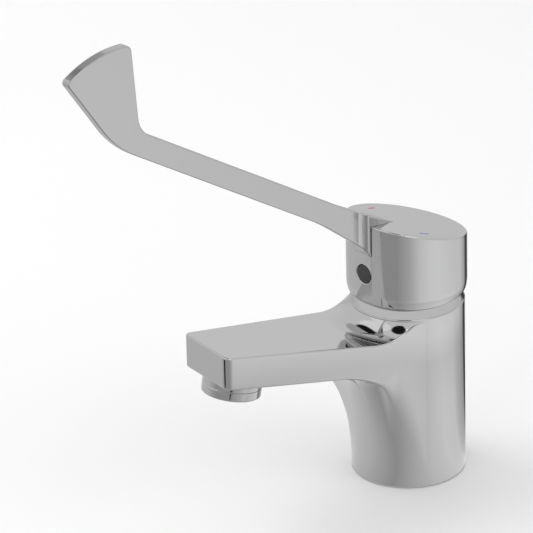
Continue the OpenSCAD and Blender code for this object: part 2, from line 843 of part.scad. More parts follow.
module lever() {
    color("silver") at_head() difference() {
        intersection() {
            rotate([90, 0, -90]) translate([0, 0, -root_w])
                linear_extrude(2 * root_w) polygon(lever_outline());
            linear_extrude(2 * arm_end_z) root_plan(0);
        }
        translate([0, -screw_out, root_low_z - over])
            cylinder(d = lever_screw_d + 2 * fit, h = screw_len - ledge_t + over);
    }
}

module head() {
    color("silver") at_head() difference() {
        union() {
            difference() {
                head_drum();
                above_slope(0);
                difference() {
                    head_hollow();
                    above_slope(roof_t);
                }
            }
            intersection() {
                union() {
                    translate([0, 0, boss_z]) cylinder(r = boss_r, h = head_h);
                    outwards(plug_z) cylinder(r = grub_boss_r, h = grub_boss_out);
                    translate([-root_w / 2 - 2, -(head_r - 1.5), root_low_z - ledge_t])
                        cube([root_w + 4, head_r - 1.5 - ledge_in, ledge_t]);
                }
                difference() {
                    head_drum();
                    above_slope(roof_t / 2);
                }
            }
        }
        translate([0, 0, root_low_z]) linear_extrude(2 * head_h) root_plan(fit);
        translate([-head_r, -2 * head_r, head_low_z - over])
            cube([2 * head_r, 2 * head_r - facet_out, root_low_z - head_low_z + over]);
        translate([-stem_w / 2 - fit, -stem_w / 2 - fit, boss_z - over])
            cube([stem_w + 2 * fit, stem_w + 2 * fit, socket_top_z - boss_z + over]);
        outwards(plug_z) cylinder(d = grub_d + 2 * fit, h = grub_boss_out + over);
        outwards(plug_z) translate([0, 0, head_r - 2 * head_wall])
            cylinder(d = plug_d + 2 * fit, h = 4 * head_wall);
        translate([0, -screw_out, root_low_z - ledge_t - over])
            cylinder(d = lever_screw_d + 0.4, h = ledge_t + 2 * over);
        mark_bar(cold_mark_angle, fit, over);
        mark_bar(-hot_mark_angle, fit, over);
    }
}

module lever_screw() {
    color("silver") at_head() translate([0, -screw_out, root_low_z - ledge_t]) difference() {
        union() {
            translate([0, 0, -screw_head_h]) cylinder(d = screw_head_d, h = screw_head_h);
            cylinder(d = lever_screw_d, h = screw_len);
        }
        translate([0, 0, -screw_head_h - over])
            cylinder(d = lever_screw_d * 0.75, h = screw_head_h * 0.6 + over, $fn = 6);
    }
}

module grub_screw() {
    color("dimgray") at_head() outwards(plug_z) translate([0, 0, stem_w / 2]) difference() {
        cylinder(d = grub_d, h = grub_len);
        translate([0, 0, grub_len / 2]) cylinder(d = grub_d * 0.58, h = grub_len, $fn = 6);
    }
}

module index_plug() {
    color("dimgray") at_head() outwards(plug_z) translate([0, 0, facet_out - 0.15 - plug_t])
        cylinder(d = plug_d, h = plug_t);
}

// A colour mark let into the sloping top along its edge, at an angle from the lever
module mark_bar(angle, extra, above) {
    out = mark_r * cos(angle);
    side = mark_r * sin(angle);
    translate([side, -out, head_top_z + out * slope]) rotate([-head_slope, 0, 0])
        rotate(angle) translate([-mark_len / 2 - extra, -mark_w / 2 - extra, -mark_t])
            cube([mark_len + 2 * extra, mark_w + 2 * extra, mark_t + above]);
}

module hot_mark() {
    color("firebrick") at_head() mark_bar(-hot_mark_angle, 0, 0);
}

module cold_mark() {
    color("royalblue") at_head() mark_bar(cold_mark_angle, 0, 0);
}

body();
base_seal();
aerator_housing();
aerator_insert();
aerator_washer();
cartridge_base();
port_seals();
disc_seals();
fixed_disc();
moving_disc();
disc_carrier();
cartridge_housing();
stem_carrier();
stem_pin();
cartridge_nut();
ring_seal();
trim_ring();
stem();
head();
lever();
lever_screw();
grub_screw();
index_plug();
hot_mark();
cold_mark();
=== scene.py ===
"""Elbow lever tap: the chrome skins of the upright, spout, head, lever and rings, the finishes of the small
parts, and a pale studio floor."""

import math

import bmesh
import bpy
from bpy.props import FloatProperty, FloatVectorProperty, PointerProperty
from mathutils import Matrix, Vector


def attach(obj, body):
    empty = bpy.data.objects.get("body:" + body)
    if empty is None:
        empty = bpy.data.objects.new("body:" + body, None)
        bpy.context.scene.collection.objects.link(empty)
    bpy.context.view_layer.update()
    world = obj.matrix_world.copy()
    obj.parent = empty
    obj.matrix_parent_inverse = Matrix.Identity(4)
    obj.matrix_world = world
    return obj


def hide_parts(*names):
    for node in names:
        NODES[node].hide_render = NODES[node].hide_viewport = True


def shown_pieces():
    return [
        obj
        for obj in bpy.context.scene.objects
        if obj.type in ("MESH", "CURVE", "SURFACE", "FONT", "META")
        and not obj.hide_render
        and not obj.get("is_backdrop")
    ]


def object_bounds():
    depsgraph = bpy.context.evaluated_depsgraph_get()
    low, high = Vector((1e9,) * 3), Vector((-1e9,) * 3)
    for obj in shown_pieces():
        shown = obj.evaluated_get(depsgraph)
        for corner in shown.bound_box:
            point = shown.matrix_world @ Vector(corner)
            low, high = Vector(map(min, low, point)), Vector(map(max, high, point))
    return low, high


bl_info = {
    "name": "Elbow lever tap",
    "version": (1, 0, 0),
    "blender": (4, 5, 0),
    "location": "3D View > Sidebar > Tap",
    "description": "Dresses a packed elbow lever tap in chrome and sets it on a studio floor",
    "category": "Object",
}

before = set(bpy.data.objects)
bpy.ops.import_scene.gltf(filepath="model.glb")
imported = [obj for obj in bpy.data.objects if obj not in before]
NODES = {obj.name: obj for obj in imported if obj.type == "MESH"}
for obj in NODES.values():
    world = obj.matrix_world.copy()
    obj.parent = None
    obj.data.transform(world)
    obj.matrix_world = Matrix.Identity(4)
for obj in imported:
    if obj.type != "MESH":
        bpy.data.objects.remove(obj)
CAD_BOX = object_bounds()


# Sizes that a user would change


def number(name, description, default, kind=FloatProperty, **more):
    return kind(name=name, description=description, default=default, **more)


def length(name, description, default):
    return number(name, description, default, unit="LENGTH", subtype="DISTANCE", precision=5)


def angle(name, description, degrees):
    return number(name, description, math.radians(degrees), unit="ROTATION", subtype="ANGLE")


def colour(name, description, default):
    return number(name, description, default, FloatVectorProperty, size=3, subtype="COLOR", min=0.0, max=1.0)


def factor(name, description, default):
    return number(name, description, default, min=0.0, max=1.0, subtype="FACTOR")


def power(name, description, default):
    return number(name, description, default, min=0.0, unit="POWER")


class TapUprightSizes(bpy.types.PropertyGroup):
    """Sizes of the upright and what is bored into it"""

    radius: length("Radius", "Outer radius of the upright", 0.025)
    rim: length("Rim height", "Height of the upright's rim", 0.081)
    rim_edge: length("Rim rounding", "Rounding of the rim's outer edge", 0.0006)
    foot_inner: length("Foot hollow", "Radius of the hollow in the foot", 0.021)
    foot_height: length("Hollow height", "Height of the hollow in the foot", 0.030)
    seat: length("Seat height", "Height of the cartridge's seat", 0.050)
    seat_radius: length("Seat radius", "Radius of the cartridge's seat", 0.0176)
    nut_radius: length("Nut bore", "Radius of the bore for the cartridge nut", 0.02005)
    nut_seat: length("Nut bore floor", "Height of the nut bore's floor", 0.0738)
    tail_x: length("Tail spacing", "Distance of each supply socket from the centre line", 0.0075)
    tail_y: length("Tail setting", "Distance of the supply sockets in front of the axis", 0.004)
    tail_radius: length("Tail radius", "Radius of the supply sockets", 0.0045)
    stud_y: length("Stud setting", "Distance of the stud's socket behind the axis", 0.012)
    stud_radius: length("Stud radius", "Radius of the stud's socket", 0.0034)
    socket_depth: length("Socket depth", "Depth of the three sockets", 0.012)


class TapSpoutSizes(bpy.types.PropertyGroup):
    """Sizes of the spout's skin"""

    reach: length("Reach", "From the upright's axis to the tip", 0.1058)
    tip_width: length("Tip width", "Width at the tip", 0.032)
    tip_top: length("Tip height", "Height of the tip's top edge", 0.0882)
    tip_depth: length("Tip depth", "Thickness at the tip", 0.0151)
    side_turn: angle("Side angle", "How much each side widens towards the upright", 4.0)
    top_climb: angle("Top climb", "Climb of the top towards the tip", 10.6)
    under_climb: angle("Under climb", "Climb of the underside towards the tip", 10.4)
    corner: length("Tip corners", "Radius of the tip's upright corners", 0.0035)
    edge: length("Edge rounding", "Rounding of the long edges", 0.0008)
    top_blend: length("Top curve", "Radius of the hollow curve up to the rim", 0.0127)
    side_blend: length("Side curve", "Radius of the hollow curve into the upright's side", 0.060)
    under_reach: length("Under curve", "How far the curve under the spout runs out", 0.030)
    under_foot: length("Under curve end", "Height at which that curve dies into the upright", 0.004)
    soft_edge: length("Soft edge", "Rounding of the lower edge near the upright", 0.0035)
    fade: length("Fade", "From the upright to where that edge starts to fade", 0.013)


class TapRingSizes(bpy.types.PropertyGroup):
    """Sizes of the trim ring and the outlet ring"""

    foot_radius: length("Foot radius", "Outer radius of the trim ring on the rim", 0.0248)
    bore: length("Bore", "Inner radius of the trim ring", 0.02254)
    wall: length("Wall", "Wall of the trim ring's dome", 0.0011)
    dome_hole: length("Dome hole", "Radius of the hole in the dome", 0.019)
    pivot: length("Pivot height", "Height of the tilting pin", 0.070)
    outlet_radius: length("Outlet radius", "Outer radius of the outlet ring", 0.0128)
    outlet_bore: length("Outlet bore", "Inner radius of the outlet ring", 0.0105)
    outlet_drop: length("Outlet drop", "How far the outlet ring stands out", 0.0078)
    outlet_setback: length("Outlet setting", "From the tip to the outlet's centre", 0.0142)
    outlet_groove: length("Outlet line", "Depth of the fine line round the outlet ring", 0.00022)


class TapHeadSizes(bpy.types.PropertyGroup):
    """Sizes of the head"""

    turn: angle("Rest turn", "Turn of the head at rest, towards the cold side", 8.0)
    radius: length("Radius", "Outer radius of the head", 0.0261)
    low: length("Lower edge", "Height of the lower edge", 0.0857)
    top: length("Top", "Height of the top on the axis", 0.1164)
    slope: angle("Slope", "Slope of the flat top", 15.4)
    tuck: length("Tuck", "Height over which the head draws in below", 0.0055)
    low_bore: length("Lower bore", "Inner radius of the lower edge", 0.02255)
    low_radius: length("Lower radius", "Outer radius of the lower edge", 0.0249)
    wall: length("Wall", "Wall of the head", 0.0025)
    edge: length("Rim rounding", "Rounding of the rim round the head's top", 0.0010)
    facet: length("Facet", "From the axis to the flat in front", 0.0257)
    facet_top: length("Facet top", "Height of the flat's upper end", 0.1092)
    plug_height: length("Plug height", "Height of the plug's axis", 0.0997)
    plug_radius: length("Plug radius", "Radius of the plug", 0.0042)
    seam: length("Lever seam", "Width of the seam round the lever's root", 0.00022)
    mark_in: length("Mark setting", "Distance of the colour marks in from the side", 0.007)
    mark_length: length("Mark length", "Length of each colour mark", 0.0042)
    mark_width: length("Mark width", "Width of each colour mark", 0.0011)
    cold_turn: angle("Cold mark", "Angle of the cold mark from the lever", 69.0)
    hot_turn: angle("Hot mark", "Angle of the hot mark from the lever", 83.0)


class TapLeverSizes(bpy.types.PropertyGroup):
    """Sizes of the lever"""

    plate: length("Plate", "Thickness of the plate", 0.0044)
    arm_depth: length("Arm depth", "Depth of the arm, square to its length", 0.0100)
    arm_climb: angle("Arm climb", "Climb of the arm", 32.1)
    root_climb: angle("Root climb", "Climb of the root's top edge", 29.25)
    root_point: length("Root point", "From the head's axis to the root's point", 0.0083)
    arm_start: length("Arm start", "From the head's axis to the arm's start", 0.0403)
    arm_end: length("Arm end", "From the head's axis to the bend", 0.1513)
    root_width: length("Root width", "Width of the root at the head's side", 0.0094)
    root_low: length("Root end", "Height of the root's lower end", 0.1092)
    root_under: angle("Root under", "Climb of the root's lower edge", 38.4)
    heel_climb: angle("Heel climb", "Climb of the root's heel below that edge", 56.0)
    heel_height: length("Heel height", "Height of the root's heel", 0.0048)
    inner_climb: angle("Paddle inner edge", "Climb of the paddle's inner edge", 85.3)
    outer_climb: angle("Paddle outer edge", "Climb of the paddle's outer edge", 55.3)
    arc: length("Paddle end", "Radius of the paddle's curved end", 0.0513)
    arc_out: length("Paddle end out", "Distance of that curve's centre beyond the bend", 0.0107)
    arc_down: length("Paddle end down", "Distance of that curve's centre below the bend", 0.0124)
    flare: length("Flare", "Radius of the hollow curve at the root's sides", 0.004)
    edge: length("Edge rounding", "Rounding of the lever's edges", 0.0006)


class TapFinishes(bpy.types.PropertyGroup):
    """Colours and gloss of the tap's finishes"""

    chrome: colour("Chrome", "Colour of the chrome plate", (0.56, 0.56, 0.565))
    chrome_gloss: factor("Chrome roughness", "Roughness of the polished chrome", 0.045)
    lever_gloss: factor("Lever roughness", "Roughness of the lever's chrome", 0.11)
    plug: colour("Plug", "Colour of the plug", (0.028, 0.028, 0.030))
    hot: colour("Hot", "Colour of the hot mark", (0.42, 0.03, 0.025))
    cold: colour("Cold", "Colour of the cold mark", (0.03, 0.07, 0.36))
    brass: colour("Brass", "Colour of the cartridge nut", (0.72, 0.50, 0.22))
    steel: colour("Steel", "Colour of the pin, stem and screws", (0.48, 0.48, 0.49))
    rubber: colour("Rubber", "Colour of the seals", (0.018, 0.018, 0.018))
    light_plastic: colour("Light plastic", "Colour of the cartridge's case", (0.78, 0.78, 0.76))
    grey_plastic: colour("Grey plastic", "Colour of the cartridge's carriers", (0.33, 0.34, 0.35))
    ceramic: colour("Ceramic", "Colour of the ceramic discs", (0.84, 0.83, 0.80))


class TapStudio(bpy.types.PropertyGroup):
    """The floor, the lights and the camera"""

    floor: colour("Floor", "Colour of the floor", (0.9, 0.9, 0.9))
    sky: number("Surround", "Brightness of the white surround", 0.82, min=0.0)
    key: power("Key light", "Power of the big soft light", 6.0)
    fill: power("Fill light", "Power of the fill light", 3.0)
    lens: number("Lens", "Focal length in millimetres", 337.73, min=1.0)
    azimuth: angle("Azimuth", "Direction of the camera round the tap, from the front", 55.35)
    elevation: angle("Elevation", "Height of the camera's line over the horizon", 25.15)
    roll: angle("Roll", "Turn of the picture", -1.26)
    distance: length("Distance", "Distance of the camera", 2.19054)
    aim_x: length("Aim right", "Shift of the tap's origin in the picture, to the right", 0.06218)
    aim_y: length("Aim up", "Shift of the tap's origin in the picture, upwards", -0.085675)


# Outlines

GUARD_DISTANCE = 0.0001
ROUND_STEP = math.radians(15)


def unit(v):
    size = math.hypot(*v)
    return tuple(c / size for c in v)


def direction(turn):
    return math.cos(turn), math.sin(turn)


def move(point, way, by):
    return point[0] + way[0] * by, point[1] + way[1] * by


def part_way(a, b, share):
    return a[0] + (b[0] - a[0]) * share, a[1] + (b[1] - a[1]) * share


def cross(a, b):
    return a[0] * b[1] - a[1] * b[0]


def held(value, low=0.0, high=1.0):
    return max(low, min(high, value))


def shares(count):
    """Even steps from 0 to 1."""
    return [i / count for i in range(count + 1)]


def meet(p, u, q, v):
    """Where the line through p along u meets the line through q along v."""
    return move(p, u, cross((q[0] - p[0], q[1] - p[1]), v) / cross(u, v))


def corner_arc(a, b, c, radius, step):
    """Points of the arc that rounds corner b between a and c."""
    to_a = unit((a[0] - b[0], a[1] - b[1]))
    to_c = unit((c[0] - b[0], c[1] - b[1]))
    half = math.acos(held(to_a[0] * to_c[0] + to_a[1] * to_c[1], -1.0)) / 2
    centre = move(b, unit((to_a[0] + to_c[0], to_a[1] + to_c[1])), radius / math.sin(half))
    start = move(b, to_a, radius / math.tan(half))
    begin = math.atan2(start[1] - centre[1], start[0] - centre[0])
    sweep = (math.pi - 2 * half) * (-1 if cross(to_a, to_c) > 0 else 1)
    steps = max(3, math.ceil(abs(sweep) / step))
    return [move(centre, direction(begin + sweep * t), radius) for t in shares(steps)]


def rounded(corners, step=ROUND_STEP, closed=True):
    """An outline of (x, y, radius) corners, each rounded by its radius."""
    points = []
    count = len(corners)
    for i, (x, y, radius) in enumerate(corners):
        if radius > 0 and (closed or 0 < i < count - 1):
            points += corner_arc(corners[i - 1], (x, y), corners[(i + 1) % count], radius, step)
        else:
            points.append((x, y))
    return points


def guarded(points, closed=False):
    """The same outline with a point close to both ends of each long side, so that wide faces shade flat."""
    made = []
    count = len(points)
    shortest = 6 * GUARD_DISTANCE
    for i in range(count if closed else count - 1):
        a, b = points[i], points[(i + 1) % count]
        size = math.dist(a, b)
        made.append(a)
        if size > shortest:
            made += [part_way(a, b, t) for t in (GUARD_DISTANCE / size, 1 - GUARD_DISTANCE / size)]
    return made if closed else made + [points[-1]]


# Meshes

ON_AXIS = 1e-7
WELD_DISTANCE = 2e-6
TOOL_OVERLAP = 0.001


def add_object(name, data):
    obj = bpy.data.objects.new(name, data)
    bpy.context.scene.collection.objects.link(obj)
    return obj


def mesh_of(name, bm):
    """Turns a bmesh into a mesh with its faces turned outwards, and frees it."""
    bmesh.ops.recalc_face_normals(bm, faces=bm.faces)
    mesh = bpy.data.meshes.new(name)
    bm.to_mesh(mesh)
    bm.free()
    return mesh


def from_bmesh(name, bm, sharp=None):
    """Makes an object of a bmesh, smooth except where faces meet at more than the sharp angle."""
    mesh = mesh_of(name, bm)
    mesh.shade_smooth()
    if sharp is not None:
        mesh.set_sharp_from_angle(angle=sharp)
    return add_object(name, mesh)


def lathe(profile, steps=256, closed=True):
    """A profile of (radius, height), turned round the Z axis."""
    bm = bmesh.new()
    rings = []
    for radius, height in profile:
        turns = [math.tau * k / steps for k in range(steps)] if radius > ON_AXIS else [0.0]
        rings.append([bm.verts.new((radius * math.cos(a), radius * math.sin(a), height)) for a in turns])
    pairs = list(zip(rings, rings[1:])) + ([(rings[-1], rings[0])] if closed else [])
    for lower, upper in pairs:
        low, high = len(lower), len(upper)
        for k in range(steps):
            n = k + 1
            corners = (lower[k % low], lower[n % low], upper[n % high], upper[k % high])
            face = list(dict.fromkeys(corners))
            if len(face) > 2:
                bm.faces.new(face)
    return bm


def prism(outline, low, high):
    """A flat outline of (x, y), raised from one height to another."""
    bm = bmesh.new()
    bottom = [bm.verts.new((x, y, low)) for x, y in outline]
    top = [bm.verts.new((x, y, high)) for x, y in outline]
    bm.faces.new(bottom[::-1])
    bm.faces.new(top)
    for i in range(len(outline)):
        n = (i + 1) % len(outline)
        bm.faces.new((bottom[i], bottom[n], top[n], top[i]))
    return bm


def box(low, high):
    outline = [(low[0], low[1]), (high[0], low[1]), (high[0], high[1]), (low[0], high[1])]
    return prism(outline, low[2], high[2])


def disc_tool(radius, low, high, steps=128):
    return lathe([(0, low), (radius, low), (radius, high), (0, high)], steps, closed=False)


def combine(obj, operation, bm, matrix=None):
    """Cuts a closed bmesh out of an object, or keeps what the two share, and drops the tool."""
    if matrix is not None:
        bmesh.ops.transform(bm, matrix=matrix, verts=bm.verts)
    mesh = mesh_of("tool", bm)
    tool = add_object("tool", mesh)
    step = obj.modifiers.new("step", "BOOLEAN")
    step.operation = operation
    step.object = tool
    step.solver = "EXACT"
    apply_modifiers(obj)
    bpy.data.objects.remove(tool)
    bpy.data.meshes.remove(mesh)


def apply_modifiers(obj):
    """Replaces an object's mesh by the one that its modifiers give."""
    bpy.context.view_layer.update()
    shaped = obj.evaluated_get(bpy.context.evaluated_depsgraph_get())
    mesh = bpy.data.meshes.new_from_object(shaped)
    old = obj.data
    obj.modifiers.clear()
    obj.data = mesh
    mesh.name = obj.name
    bpy.data.meshes.remove(old)


def soften_edges(obj, width, share, limit):
    """Rounds the edges that are sharper than a limit, each by its share of a width."""
    bm = bmesh.new()
    bm.from_mesh(obj.data)
    bmesh.ops.remove_doubles(bm, verts=bm.verts, dist=WELD_DISTANCE)
    bmesh.ops.dissolve_degenerate(bm, edges=bm.edges, dist=WELD_DISTANCE)
    weight = bm.edges.layers.float.new("bevel_weight_edge")
    for edge in bm.edges:
        if edge.calc_face_angle(0.0) > limit:
            edge[weight] = share((edge.verts[0].co + edge.verts[1].co) / 2)
    bm.to_mesh(obj.data)
    bm.free()
    obj.data.shade_smooth()
    bevel = obj.modifiers.new("edges", "BEVEL")
    bevel.width = width
    bevel.segments = 3
    bevel.limit_method = "WEIGHT"
    bevel.use_clamp_overlap = False
    bevel.harden_normals = True
    bevel.miter_outer = "MITER_ARC"
    apply_modifiers(obj)


def place(obj, body, slot, material, *nodes):
    """Gives a finished piece its body, its material and the CAD nodes that it stands for, which it hides; the
    slot is not used.
    """
    obj.data.materials.clear()
    obj.data.materials.append(material)
    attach(obj, body)
    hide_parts(*nodes)
    return obj


def head_turn():
    return Matrix.Rotation(bpy.context.scene.tap_head.turn, 4, "Z")


# Shader expressions


class Socket:
    """A shader socket. Used in an expression on values, it adds the Math nodes of that expression."""

    def __init__(self, shade, socket):
        self.shade = shade
        self.socket = socket

    def math(self, operation, first, second):
        return self.shade.add("ShaderNodeMath", {"operation": operation}, {0: first, 1: second})

    def __add__(self, other):
        return self.math("ADD", self, other)

    def __radd__(self, other):
        return self.math("ADD", other, self)

    def __sub__(self, other):
        return self.math("SUBTRACT", self, other)

    def __rsub__(self, other):
        return self.math("SUBTRACT", other, self)

    def __mul__(self, other):
        return self.math("MULTIPLY", self, other)

    def __rmul__(self, other):
        return self.math("MULTIPLY", other, self)


class Shade:
    """A material or a world under construction."""

    def __init__(self, owner):
        self.owner = owner
        owner.use_nodes = True
        self.tree = owner.node_tree
        self.tree.nodes.clear()

    def add(self, kind, settings=None, values=None, output=0):
        """Adds one node: its settings first, then the values or links of its sockets."""
        node = self.tree.nodes.new(kind)
        for key, value in (settings or {}).items():
            if key == "stops":
                ramp = node.color_ramp.elements
                while len(ramp) < len(value):
                    ramp.new(0.5)
                for stop, (place_at, shade_of) in zip(ramp, value):
                    stop.position = place_at
                    stop.color = (*shade_of, 1.0)
            else:
                setattr(node, key, value)
        for key, value in (values or {}).items():
            if isinstance(value, Socket):
                self.tree.links.new(value.socket, node.inputs[key])
            elif value is not None:
                node.inputs[key].default_value = value
        return Socket(self, node.outputs[output]) if node.outputs else node

    def spot(self):
        """Where a point lies on the object."""
        return self.add("ShaderNodeTexCoord", output="Object")

    def noise(self, scale, detail=3.0, stretch=(1, 1, 1), roughness=0.5):
        """Noise over the object, drawn out along the axes whose stretch is small."""
        place = self.add("ShaderNodeMapping", {}, {"Vector": self.spot(), "Scale": stretch})
        values = {"Vector": place, "Scale": scale, "Detail": detail, "Roughness": roughness}
        return self.add("ShaderNodeTexNoise", {}, values)

    def gradient(self, kind):
        """RADIAL is how far round the object's axis a point lies, SPHERICAL how close to its centre."""
        return self.add("ShaderNodeTexGradient", {"gradient_type": kind}, {"Vector": self.spot()}, "Fac")

    def between(self, value, low, high, start=0.0, end=1.0):
        """A value that runs from start to end, spread over low to high and kept inside it."""
        values = {"Value": value, "From Min": start, "From Max": end, "To Min": low, "To Max": high}
        return self.add("ShaderNodeMapRange", {"clamp": True}, values)

    def mix(self, mask, first, second):
        """From one colour to another by a mask: in a Mix node 6 and 7 take colours and 2 gives one."""
        values = {"Factor": mask, 6: rgba(first), 7: rgba(second)}
        return self.add("ShaderNodeMix", {"data_type": "RGBA"}, values, 2)

    def bump(self, height, strength, depth, normal=None):
        values = {"Height": height, "Strength": strength, "Distance": depth, "Normal": normal}
        return self.add("ShaderNodeBump", {}, values)

    def glow(self, colour_of, strength):
        return self.add("ShaderNodeEmission", {}, {"Color": rgba(colour_of), "Strength": strength})

    def surface(self, **values):
        named = {key.replace("_", " ").title().replace("Ior", "IOR"): value for key, value in values.items()}
        shader = self.add("ShaderNodeBsdfPrincipled", {}, named)
        self.add("ShaderNodeOutputMaterial", {}, {"Surface": shader})
        return self.owner


def rgba(value):
    return value if isinstance(value, Socket) else (*value[:3], 1.0)


def tone(value, amount):
    """A colour made lighter or darker by a factor."""
    return tuple(min(1.0, c * amount) for c in value[:3])


def chrome_plate(name, colour_of, roughness, brushed=0.0):
    """Bright plate over polished metal: faint waves of the casting, wiped smears and hairline scratches."""
    shade = Shade(bpy.data.materials.new(name))
    waves = shade.noise(55.0, detail=1.0)
    smears = shade.noise(38.0, detail=4.0, stretch=(1.0, 1.0, 0.35), roughness=0.6)
    hairlines = shade.noise(900.0, detail=2.0, stretch=(1.0, 1.0, 0.03))
    dust = shade.noise(2400.0, detail=1.0)
    worn = shade.between(smears, -0.012, 0.03) + shade.between(hairlines, -0.006, 0.012 + brushed)
    film = shade.between(smears * 0.7 + dust * 0.3, 0.0, 1.0)
    colour_now = shade.mix(film, tone(colour_of, 0.97), tone(colour_of, 1.03))
    swell = shade.bump(waves, strength=0.05, depth=0.0006)
    grain = shade.bump(hairlines, strength=0.008 + brushed * 0.4, depth=0.00004, normal=swell)
    return shade.surface(base_color=colour_now, metallic=1.0, roughness=worn + roughness, normal=grain)


def turned_metal(name, colour_of, roughness):
    """Bare metal with the fine rings that the lathe leaves."""
    shade = Shade(bpy.data.materials.new(name))
    rings = shade.noise(60.0, stretch=(0.2, 0.2, 60.0))
    stains = shade.noise(140.0, detail=4.0)
    colour_now = shade.mix(stains, tone(colour_of, 0.8), tone(colour_of, 1.12))
    worn = shade.between(rings, roughness - 0.06, roughness + 0.1)
    grooves = shade.bump(rings, strength=0.25, depth=0.00005)
    return shade.surface(base_color=colour_now, metallic=1.0, roughness=worn, normal=grooves)


def moulded(name, colour_of, roughness, grain=0.12):
    """Moulded plastic, rubber or fired ceramic: a slight mottle and a fine skin."""
    shade = Shade(bpy.data.materials.new(name))
    mottle = shade.noise(160.0)
    skin = shade.noise(2600.0, detail=2.0)
    colour_now = shade.mix(mottle, tone(colour_of, 0.9), tone(colour_of, 1.1))
    worn = shade.between(mottle * 0.5 + skin * 0.5, roughness - 0.05, roughness + 0.07)
    pores = shade.bump(skin, strength=grain, depth=0.00003)
    return shade.surface(base_color=colour_now, roughness=worn, specular_ior_level=0.5, normal=pores)


def polished_chrome():
    """The plate that the upright, the rings and the head share, made once."""
    look = bpy.context.scene.tap_finishes
    made = bpy.data.materials.get("polished_chrome")
    return made or chrome_plate("polished_chrome", look.chrome, look.chrome_gloss)


# The upright and the spout

# the smallest rounding, also the skin's reach into the upright, and the points' distance from a sharp edge
THIN = 0.00002
EDGE_GUARD = 0.0002
# the spout's top ends this far below the rim, and inside its outer edge
RIM_DROP = 0.0004
RIM_INSET = 0.0003
TOP_INTO_WALL = 0.0012
BEYOND_CURVE = 0.0016
LEAST_FLAT = 0.001
LEAST_UNDER_REACH = 0.008
# the greatest shares of the way in for the top's curve, of the side for its edges, and of the fade
TOP_SHARE = 0.8
SIDE_SHARE = 0.8
GUARD_SHARE = 0.1
FADE_SHARE = 0.6
# where the points across the tip lie, and the first along the side
TIP_SPREAD = (0, 0.25, 0.5, 0.75, 0.9, 0.98)
SIDE_FIRST = 0.003
# numbers of steps along each part of the skin
SIDE_STEPS = 44
CORNER_STEPS = 12
BLEND_STEPS = 24
CURVE_STEPS = 22
FLAT_STEPS = 8
EDGE_STEPS = 6
LOW_EDGE_STEPS = 12
UNDER_STEPS = 50


def spout_plan(s, upright):
    """Half of the spout's plan from the middle of its tip to the upright: (point, outward normal)."""
    turn = s.side_turn
    normal = direction(turn)
    dist = normal[0] * s.tip_width / 2 + normal[1] * s.reach
    cy = s.reach - s.corner
    cx = (dist - s.corner - normal[1] * cy) / normal[0]
    far = dist + s.side_blend
    slide = math.sqrt((upright + s.side_blend) ** 2 - far**2)
    centre = (normal[0] * far - normal[1] * slide, normal[1] * far + normal[0] * slide)
    half = [((cx * t, s.reach), (0.0, 1.0)) for t in TIP_SPREAD]
    for t in shares(CORNER_STEPS):
        way = direction(math.pi / 2 + (turn - math.pi / 2) * t)
        half.append((move((cx, cy), way, s.corner), way))
    start = half[-1][0]
    end = move(centre, normal, -s.side_blend)
    half += [(part_way(start, end, t), normal) for t in (SIDE_FIRST, *shares(SIDE_STEPS)[1:])]
    last = math.atan2(centre[1], centre[0])
    for t in shares(BLEND_STEPS)[1:]:
        way = direction(turn + (last - turn) * t)
        half.append((move(centre, way, -s.side_blend), way))
    return half


def spout_top(s, u, point):
    """Height of the spout's top over a point: the climbing flat with the hollow curve up to the rim."""
    r = math.hypot(*point)
    rim = u.rim - RIM_DROP
    climb = math.tan(s.top_climb) * point[1] / r
    start = s.tip_top - math.tan(s.top_climb) * s.reach
    lean = math.sqrt(1 + climb * climb)
    edge = u.radius - RIM_INSET
    k = start + climb * edge + s.top_blend * lean - rim
    spread = math.sqrt((k * climb) ** 2 - lean * lean * (k * k - s.top_blend**2))
    centre_r = edge + (spread - k * climb) / (lean * lean)
    centre_z = start + climb * centre_r + s.top_blend * lean
    if r >= centre_r + s.top_blend * climb / lean:
        return start + climb * r
    if r <= edge:
        return rim
    return centre_z - math.sqrt(s.top_blend**2 - (r - centre_r) ** 2)


def spout_under(s, u, reach, spot):
    """Height of the spout's underside: the climbing flat, then a quarter ellipse down into the upright."""
    end = u.radius - THIN
    r = math.hypot(*spot)
    way = spot[1] / r
    slant = math.tan(s.under_climb)
    flat = s.tip_top - s.tip_depth - slant * s.reach
    drop = flat + slant * way * end - s.under_foot
    turn = math.asin(held((end + reach - r) / reach))
    return flat + slant * spot[1] - drop * (1 - math.cos(turn))


def bezier(a, b, c, steps):
    """Points of the curve that rounds corner b between a and c."""
    weights = [((1 - t) ** 2, 2 * t * (1 - t), t * t) for t in shares(steps)]
    return [tuple(p * i + q * j + w * k for p, q, w in zip(a, b, c)) for i, j, k in weights]


def along_ray(spot, radii):
    """Points at several distances from the upright's axis, on the line out through a spot."""
    way = unit(spot)
    return [(way[0] * r, way[1] * r) for r in radii]


